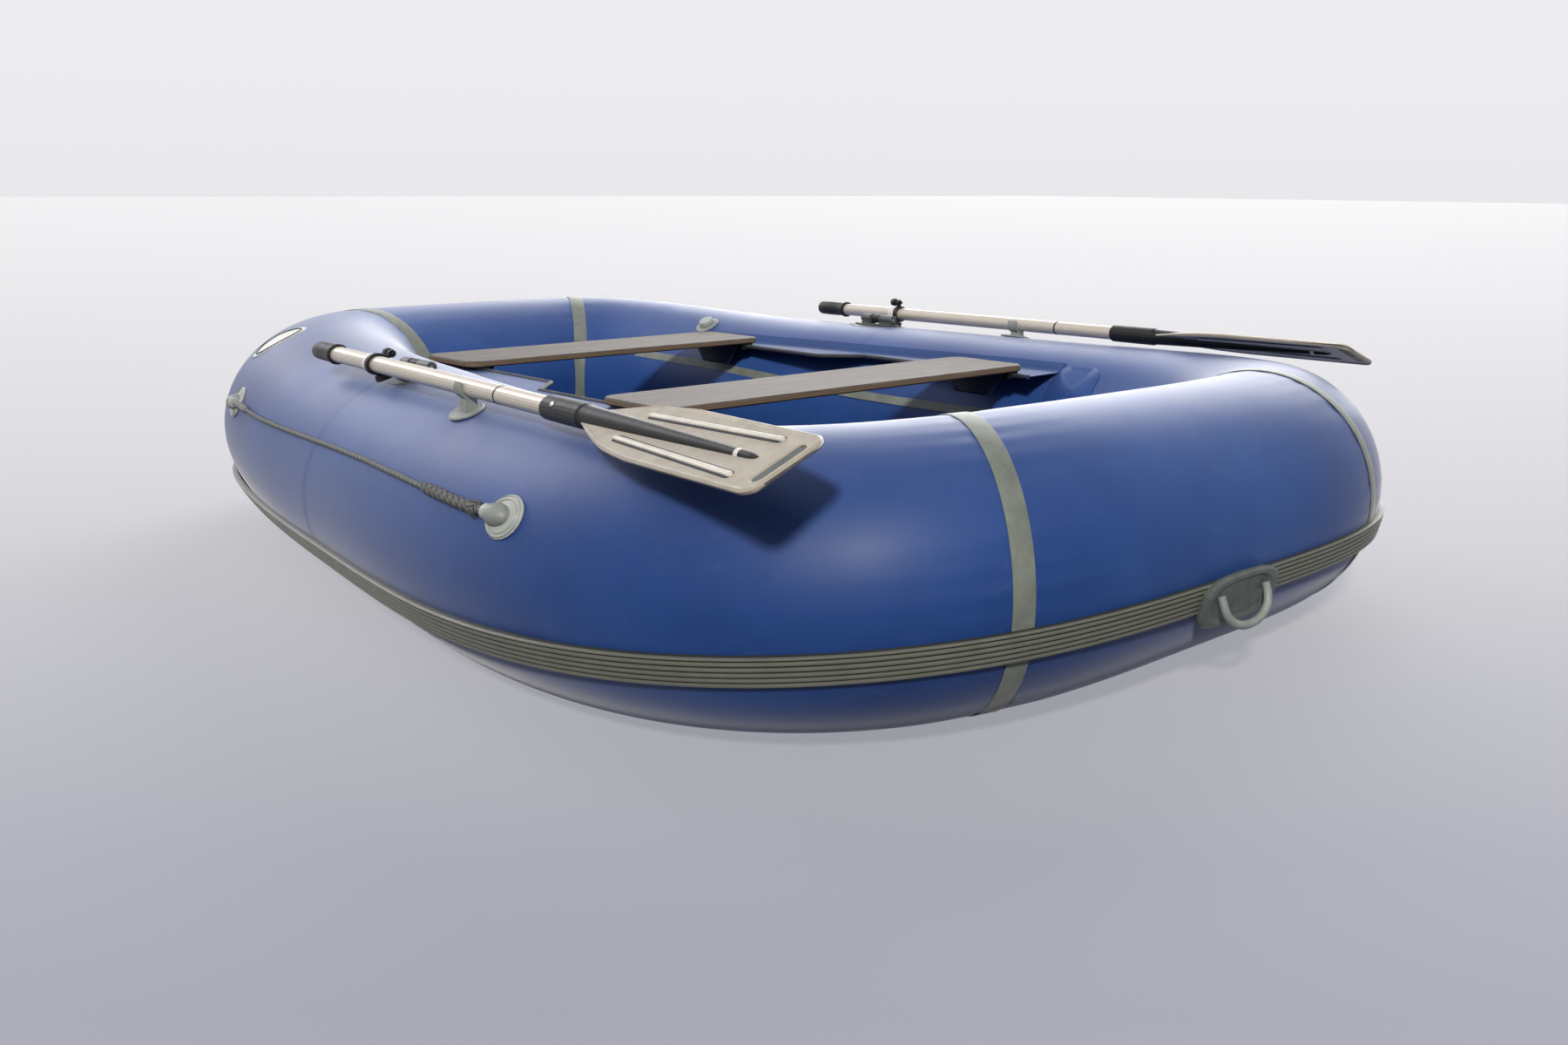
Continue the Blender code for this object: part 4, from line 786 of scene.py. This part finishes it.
ribs = {"from": 0.112, "long": 0.285, "near": 0.0255, "spread": 0.010, "bar": (0.0042, 0.0056),
        "seat": (0.0074, 0.0036), "sidePower": 0.7, "topPower": 0.6, "endHigh": 0.6, "steps": (150, 24),
        "round": 0.03}
slotFloor = {"endIn": 0.0016, "sideIn": 0.0018, "proud": 0.0003, "steps": (40, 20), "cloth": (0.07, 0.02)}
turning = {"around": 32, "gripAround": 40, "fittingAround": 24, "round": 0.1, "smooth": 35}
# turned parts, as (distance along the oar, radius)
fittingProfile = [(0.352, 0.0030), (0.353, 0.0068), (0.361, 0.0068), (0.362, 0.0050)]
gripProfile = [(0.0, 0.0005), (0.0, 0.0122), (0.0010, 0.0142), (0.0035, 0.0152), (0.030, 0.0157),
               (0.055, 0.0157), (0.0835, 0.0153), (0.0850, 0.0160), (0.0856, 0.0176), (0.0895, 0.0176),
               (0.0908, 0.0170), (0.0915, 0.0150), (0.0915, 0.0138)]
jointProfile = [(0.7578, 0.0134), (0.7580, 0.01375), (0.7620, 0.01375), (0.7622, 0.0134)]


def onOar(word, d, y, h):
    # points from the distance along the oar, across the blade and off its face
    made = oars[word]
    s, roll = made["splay"], made["roll"]
    aft = np.array([-math.cos(s), math.sin(s), 0])
    out = np.array([math.sin(s), math.cos(s), 0])
    up = np.array([0, 0, 1.0])
    wide = out * math.cos(roll) - up * math.sin(roll)
    thick = out * math.sin(roll) + up * math.cos(roll)
    p = np.array(made["grip"]) + d[:, None] * aft + y[:, None] * wide + h[:, None] * thick
    p[:, 1] *= made["side"]
    return p


def bluntSine(wave, power):
    return np.sign(wave) * np.abs(wave) ** power


def roundEnd(wideHalf, past):
    return np.sqrt(np.maximum(wideHalf ** 2 - past ** 2, 1e-10))


def bladePlace(word):
    root, end = blade["root"], blade["end"]

    def place(u, v):
        d = root + (end - root) * (1 - (1 - u) ** blade["crowding"])
        t = v * 2
        across = np.where(t <= 1, 2 * t - 1, 3 - 2 * t)
        face = np.where(t <= 1, 1.0, -1.0)
        w = np.interp(d - root, *blade["widths"])
        r = blade["corner"]
        near = np.clip(d - end + r, 0, r)
        w = np.where(near > 0, blade["half"] - r + np.sqrt(np.maximum(r * r - near * near, 0)), w)
        y = across * w
        edge = np.minimum(w - np.abs(y), end - d)
        h = blade["plate"] * np.sqrt(np.clip(edge / blade["edge"], blade["edgeShare"], 1))
        grown = np.clip((d - root - blade["lipFrom"]) / blade["lipGrow"], 0, 1)
        h = h + blade["lip"] * grown * np.exp(-((edge - blade["lipIn"]) / blade["lipWide"]) ** 2)
        pastSlot = np.maximum(0, np.abs(y) - blade["slotHalf"] + blade["slotWide"])
        slot = np.hypot(pastSlot, d - end + blade["slotFromEnd"])
        h = h - blade["slotDeep"] * np.clip((blade["slotWide"] - slot) / blade["edge"], 0, 1)
        return onOar(word, d, y, h * face)
    return place


def ribPlace(word, sign, wideHalf, high):
    # a long rounded bar that shows on both faces of the blade
    low, long = blade["root"] + ribs["from"], ribs["long"]

    def place(u, v):
        a = 2 * math.pi * v
        past = np.maximum(0, np.maximum(wideHalf - long * u, long * u - long + wideHalf))
        w = roundEnd(wideHalf, past)
        y = sign * (ribs["near"] + ribs["spread"] * u) + w * bluntSine(np.cos(a), ribs["sidePower"])
        full = ribs["endHigh"] + (1 - ribs["endHigh"]) * w / wideHalf
        h = high * bluntSine(np.sin(a), ribs["topPower"]) * full
        return onOar(word, low + long * u, y, h)
    return place


def slotPlace(word):
    # the floor of the recess near the blade's end, in dark plastic: painted shade in the recess
    long = blade["slotHalf"] - slotFloor["endIn"]
    wideHalf = blade["slotWide"] - slotFloor["sideIn"]
    high = blade["plate"] - blade["slotDeep"] + slotFloor["proud"]

    def place(u, v):
        a = 2 * math.pi * v
        y = long * (2 * u - 1)
        w = roundEnd(wideHalf, np.maximum(0, np.abs(y) - long + wideHalf))
        d = blade["end"] - blade["slotFromEnd"] + w * np.cos(a)
        h = high * np.sign(np.sin(a)) * np.minimum(1, np.abs(np.sin(a)) * 2)
        return onOar(word, d, y, h)
    return place


def turned(name, word, profile, around=turning["around"], start=0.0):
    d = np.array([p[0] for p in profile]) + start
    r = np.array([p[1] for p in profile])
    last = len(profile) - 1

    def place(u, v):
        k = np.rint(u * last).astype(int)
        a = 2 * math.pi * v
        return onOar(word, d[k], r[k] * np.cos(a), r[k] * np.sin(a))
    size = (float(d[-1] - d[0]), turning["round"])
    return gridPiece(name, place, last, around, size, closeAcross=True, smooth=turning["smooth"])


def bladeBar(name, word, sign, size, material):
    cloth = (ribs["long"], ribs["round"])
    piece = gridPiece(name, ribPlace(word, sign, *size), *ribs["steps"], cloth, closeAcross=True)
    return dress(piece, material, "oar_" + word)


for word in oars:
    body = "oar_" + word
    plate = gridPiece("blade_plate_" + word, bladePlace(word), *blade["steps"], blade["cloth"],
                      closeAcross=True)
    dress(plate, bladePlastic, body, ["oar_blade_" + word])
    # each rib: a bar in paler plastic, painted highlight, over a wider dark seat, painted shade round it
    for number, sign in enumerate((1, -1)):
        bladeBar(f"blade_rib_{number}_{word}", word, sign, ribs["bar"], ribPaintedHighlight)
        bladeBar(f"blade_rib_shade_{number}_{word}", word, sign, ribs["seat"], edgeRubber)
    slotShadePlug = gridPiece("blade_slot_shade_" + word, slotPlace(word), *slotFloor["steps"], slotFloor["cloth"],
                     closeAcross=True)
    dress(slotShadePlug, darkMoulded, body)
    steps = np.linspace(blade["spine"][0][0], blade["spine"][0][-1], blade["spineSteps"])
    profile = [(float(v), float(np.interp(v, *blade["spine"]))) for v in steps]
    spine = turned("blade_spine_" + word, word, profile, start=blade["root"])
    dress(spine, blackMoulded, body)
    fitting = turned("blade_fitting_" + word, word, fittingProfile, turning["fittingAround"], blade["root"])
    dress(fitting, whiteVinyl, body)
    grip = turned("grip_" + word, word, gripProfile, turning["gripAround"])
    dress(grip, blackMoulded, body, ["oar_grip_" + word])
    dress(turned("shaft_joint_" + word, word, jointProfile), edgeRubber, body)
print("oars made")


# rails: a bead along the step in the rail, its dark colour painted shade of the line under the rail's edge
rails = {"z": 0.3355, "x": (0.560, -0.460), "stepX": (0.025, 0.105), "stepY": (0.355, 0.293),
         "bead": 0.0043, "points": 140, "around": 14, "long": 1.02}
railX = np.linspace(*rails["x"], rails["points"])
railY = np.interp(railX, rails["stepX"], rails["stepY"])
for word, side in bothSides:
    line = np.stack([railX, side * railY, np.full(len(railX), rails["z"])], -1)
    bead = tubeAlong("rail_edge_" + word, line, rails["bead"], rails["around"], rails["long"])
    dress(bead, edgeRubber)


# flaps under the seats' ends, each narrower towards its foot, in the darker copy of the blue: painted shade
# under the seats
flap = {"topHalf": 0.088, "footHalf": 0.050, "sag": 0.004, "top": 0.3405, "drop": 0.046, "thick": 0.0016,
        "seats": (("bow_thwart", 0.455, 0.274), ("aft_thwart", -0.325, 0.336)), "steps": (24, 10),
        "cloth": (0.18, 0.05)}


def flapPlace(seatX, y):
    def place(u, v):
        wide = np.interp(v, [0, 1], [flap["topHalf"], flap["footHalf"]])
        sag = flap["sag"] * np.sin(math.pi * u) * (1 - np.cos(math.pi * v)) / 2
        x = seatX + (2 * u - 1) * wide
        return np.stack([x, y - np.sign(y) * sag, flap["top"] - flap["drop"] * v], -1)
    return place


for body, seatX, y in flap["seats"]:
    for word, side in bothSides:
        place = flapPlace(seatX, side * y)
        piece = gridPiece(f"flap_{body}_{word}", place, *flap["steps"], flap["cloth"])
        thicken(piece, flap["thick"])
        dress(piece, shadedBlueFabric, body)
print("rails dressed")


# patches that follow the tube, each a bevelled ring between two radii and two heights
patch = {"probe": 0.01, "innerBevel": 0.0004, "outerBevel": 0.0012, "foot": 0.0002, "around": 72,
         "cloth": (0.3, 0.01)}
disc = {"x": 0.867, "angle": 60, "radii": (0.0440, 0.0480), "heights": (0.0012, 0.0030), "around": 96}
railPatch = {"x": -0.505, "angle": 141, "radii": (0.0008, 0.058), "heights": (0.0002, 0.0016), "power": 3.2}
holderRings = {"radii": (0.0345, 0.0285), "wide": 0.0016, "low": 0.0036, "high": 0.0052, "step": 0.0006,
               "oval": 0.78}


def patchPiece(name, x, degrees, radii, heights, material, side=1, around=patch["around"], power=2.0,
               oval=1.0):
    (inner, outer), (low, high) = radii, heights
    s0 = runUnder(x, degrees)
    near = skinPoint(s0 - patch["probe"], degrees, tubeR)
    far = skinPoint(s0 + patch["probe"], degrees, tubeR)
    step = float(np.linalg.norm(far - near)) / (2 * patch["probe"])
    section = np.array([(inner, low), (inner + patch["innerBevel"], high),
                        (outer - patch["outerBevel"], high), (outer - patch["foot"], (low + high) / 2),
                        (outer, low)])

    def place(u, v):
        k = np.rint(v * (len(section) - 1)).astype(int)
        r, h = section[k, 0], section[k, 1]
        a = 2 * math.pi * u
        q = (np.abs(np.cos(a)) ** power + np.abs(np.sin(a)) ** power) ** (-1 / power)
        angle = degrees + np.degrees(oval * r * q * np.sin(a) / tubeR)
        p = skinPoint(s0 - r * q * np.cos(a) / step, angle, tubeR + h)
        p[:, 1] *= side
        return p
    piece = gridPiece(name, place, around, len(section) - 1, patch["cloth"], closeAlong=True)
    return dress(piece, material)


patchPiece("disc_outline", disc["x"], disc["angle"], disc["radii"], disc["heights"], blackMoulded,
           around=disc["around"])
for word, side in bothSides:
    patchPiece("rail_patch_" + word, railPatch["x"], railPatch["angle"], railPatch["radii"],
               railPatch["heights"], blueFabric, side, power=railPatch["power"])
for word, x in (("bow", lifeline["bow"]), ("aft", lifeline["aft"])):
    for number, r in enumerate(holderRings["radii"]):
        heights = (holderRings["low"], holderRings["high"] + holderRings["step"] * number)
        patchPiece(f"holder_ring_{number}_{word}", x, ropeAngle(x), (r - holderRings["wide"], r), heights,
                   paleMoulded, oval=holderRings["oval"])
print("patches laid")


# the stern handle's bail, moulded thick: an arch that leaves the pad and hangs a little
bail = {"y": 0.019, "z": 0.147, "reach": 0.047, "face": 0.2005, "radius": 0.0060, "footLift": 0.012,
        "hang": 0.032, "footOut": 0.0060, "out": 0.026, "power": 0.6, "clear": 0.006, "points": 61,
        "around": 20, "long": 0.15}


def bailPoint(y, z, depth):
    level = float(levelOf(-hull["halfLength"]))
    rise = math.degrees(math.asin((z - level) / (tubeR + bail["clear"])))
    return skinPoint(half - y, rise, bail["face"] + depth)


def bailArch(t):
    spread = math.sin(math.pi * t) ** bail["power"]
    y = bail["y"] + bail["reach"] * math.cos(math.pi * t)
    z = bail["z"] + bail["footLift"] - bail["hang"] * spread
    return bailPoint(y, z, bail["footOut"] + bail["out"] * spread)


bailLine = np.array([bailArch(t) for t in np.linspace(0, 1, bail["points"])])
handle = tubeAlong("handle_bail", bailLine, bail["radius"], bail["around"], bail["long"])
dress(handle, handleGrey, "hull", ["stern_handle_bail"])
print("bail bent")


# finishes of the carried-over nodes, by the start of their names
finishes = {"inner_tape": tapeGrey, "floor_tape": tapeGrey, "seat_rail": shadedRailFabric, "thwart": plywood,
            "thwart_bow_groove": blackMoulded, "thwart_aft_groove": blackMoulded, "side_disc": whiteVinyl,
            "valve_body": greyMoulded, "valve_cap": paleMoulded, "rowlock_pad": darkMoulded,
            "rowlock_base": darkMoulded, "rowlock_pin": aluminium, "rowlock_swivel": blackMoulded,
            "clasp": blackMoulded, "oar_shaft": satinShaft, "oar_collar": whiteVinyl,
            "oar_socket": blackMoulded, "oar_button": aluminium, "oar_clip": greyMoulded,
            "rope_holder": paleMoulded, "stern_handle_pad": padGrey}


def finishNodes():
    for name, node in cadNode.items():
        best = max((key for key in finishes if name.startswith(key)), key=len, default=None)
        if best is None or node.hide_render:
            continue
        node.data.materials.clear()
        node.data.materials.append(finishes[best])


finishNodes()
print("nodes finished")


# floor, light and background; a lamp is (azimuth, height, spread, strength, colour)
studio = {"shown": [(0.0, "#e9e9ec"), (0.39, "#d2d2d8"), (0.79, "#b5b7c3"), (0.97, "#aeb0bd")],
          "sky": [(0.0, "#e9e9ec"), (0.06, "#ececef"), (1.0, "#eeeef1")], "bounce": "#3a3c42",
          "skyLight": 0.24, "backGlow": 1.5, "ownLight": 0.60, "groundShare": 0.36, "groundSize": 60,
          "nearEdge": 1.181, "nearest": 1.18,
          "lamps": {"key": (135, 32, 6, 2.6, "#fff8ee"), "backBox": (-52, 17, 50, 2.9, "#ffffff"),
                    "bowBox": (8, 26, 22, 0.6, "#fdf9ff")}}
beyond = (math.cos(view["yaw"]), math.sin(view["yaw"]), 0)


def shownShare(look):
    # what the camera and the reflections see, against what lights the boat
    path = look.add("ShaderNodeLightPath")
    share = look.sums("MAXIMUM", path.outputs["Is Camera Ray"], path.outputs["Is Glossy Ray"])
    return look.sums("MAXIMUM", share, path.outputs["Is Transmission Ray"])


def groundLook():
    # the shade follows one over the distance from the near edge, so it fades evenly up the picture
    look = Look("paleGround", roughness=0.95)
    start = view["at"][0] * beyond[0] + view["at"][1] * beyond[1]
    distance = look.sums("SUBTRACT", look.along(look.coords.outputs["Object"], beyond), start)
    away = look.sums("MAXIMUM", distance, studio["nearest"])
    shown = look.ramp(look.sums("DIVIDE", studio["nearEdge"], away), studio["shown"])
    share = shownShare(look)
    lit = look.mix(share, studio["bounce"], look.mix(studio["groundShare"], "#000000", shown))
    look.set({"Specular IOR Level": 0.05, "Base Color": lit, "Emission Color": shown,
              "Emission Strength": look.sums("MULTIPLY", share, studio["ownLight"])})
    return look.material


def lamp(name, azimuth, height, spread, strength, colour):
    data = bpy.data.lights.new(name, "SUN")
    data.energy = strength
    data.angle = math.radians(spread)
    data.color = shade(colour)[:3]
    made = bpy.data.objects.new(name, data)
    away = wayOf(math.radians(azimuth), math.radians(height))
    made.rotation_euler = (-away).to_track_quat("-Z", "Y").to_euler()
    bpy.context.scene.collection.objects.link(made)


def skyLook():
    # a bright band low in the sky beyond the boat gives its tops their sheen
    world = bpy.data.worlds.new("studio")
    bpy.context.scene.world = world
    world.use_nodes = True
    look = Nodes(world.node_tree)
    way = look.coords.outputs["Generated"]
    height = look.split(way)[2]
    side = look.ramp(look.along(way, beyond), [(0.0, 0.0), (0.8, 1.0)])
    glow = look.sums("MULTIPLY", side, look.ramp(height, [(0.0, 1.0), (0.35, 0.75), (0.8, 0.0)]))
    light = look.sums("ADD", look.sums("MULTIPLY", glow, studio["backGlow"]), studio["skyLight"])
    shown = look.ramp(height, studio["sky"])
    colour = look.mix(shownShare(look), light, shown)
    look.feed(look.tree.nodes["Background"], {"Color": colour, "Strength": 1})


def addStudio():
    bm = bmesh.new()
    bmesh.ops.create_grid(bm, x_segments=1, y_segments=1, size=studio["groundSize"])
    ground = finishMesh("ground", bm, bpy.data.meshes.new("ground"), smooth=0)
    ground.data.materials.append(groundLook())
    for name, values in studio["lamps"].items():
        lamp(name, *values)
    skyLook()
    bpy.context.scene.view_settings.view_transform = "Standard"


addStudio()
print("studio lit")
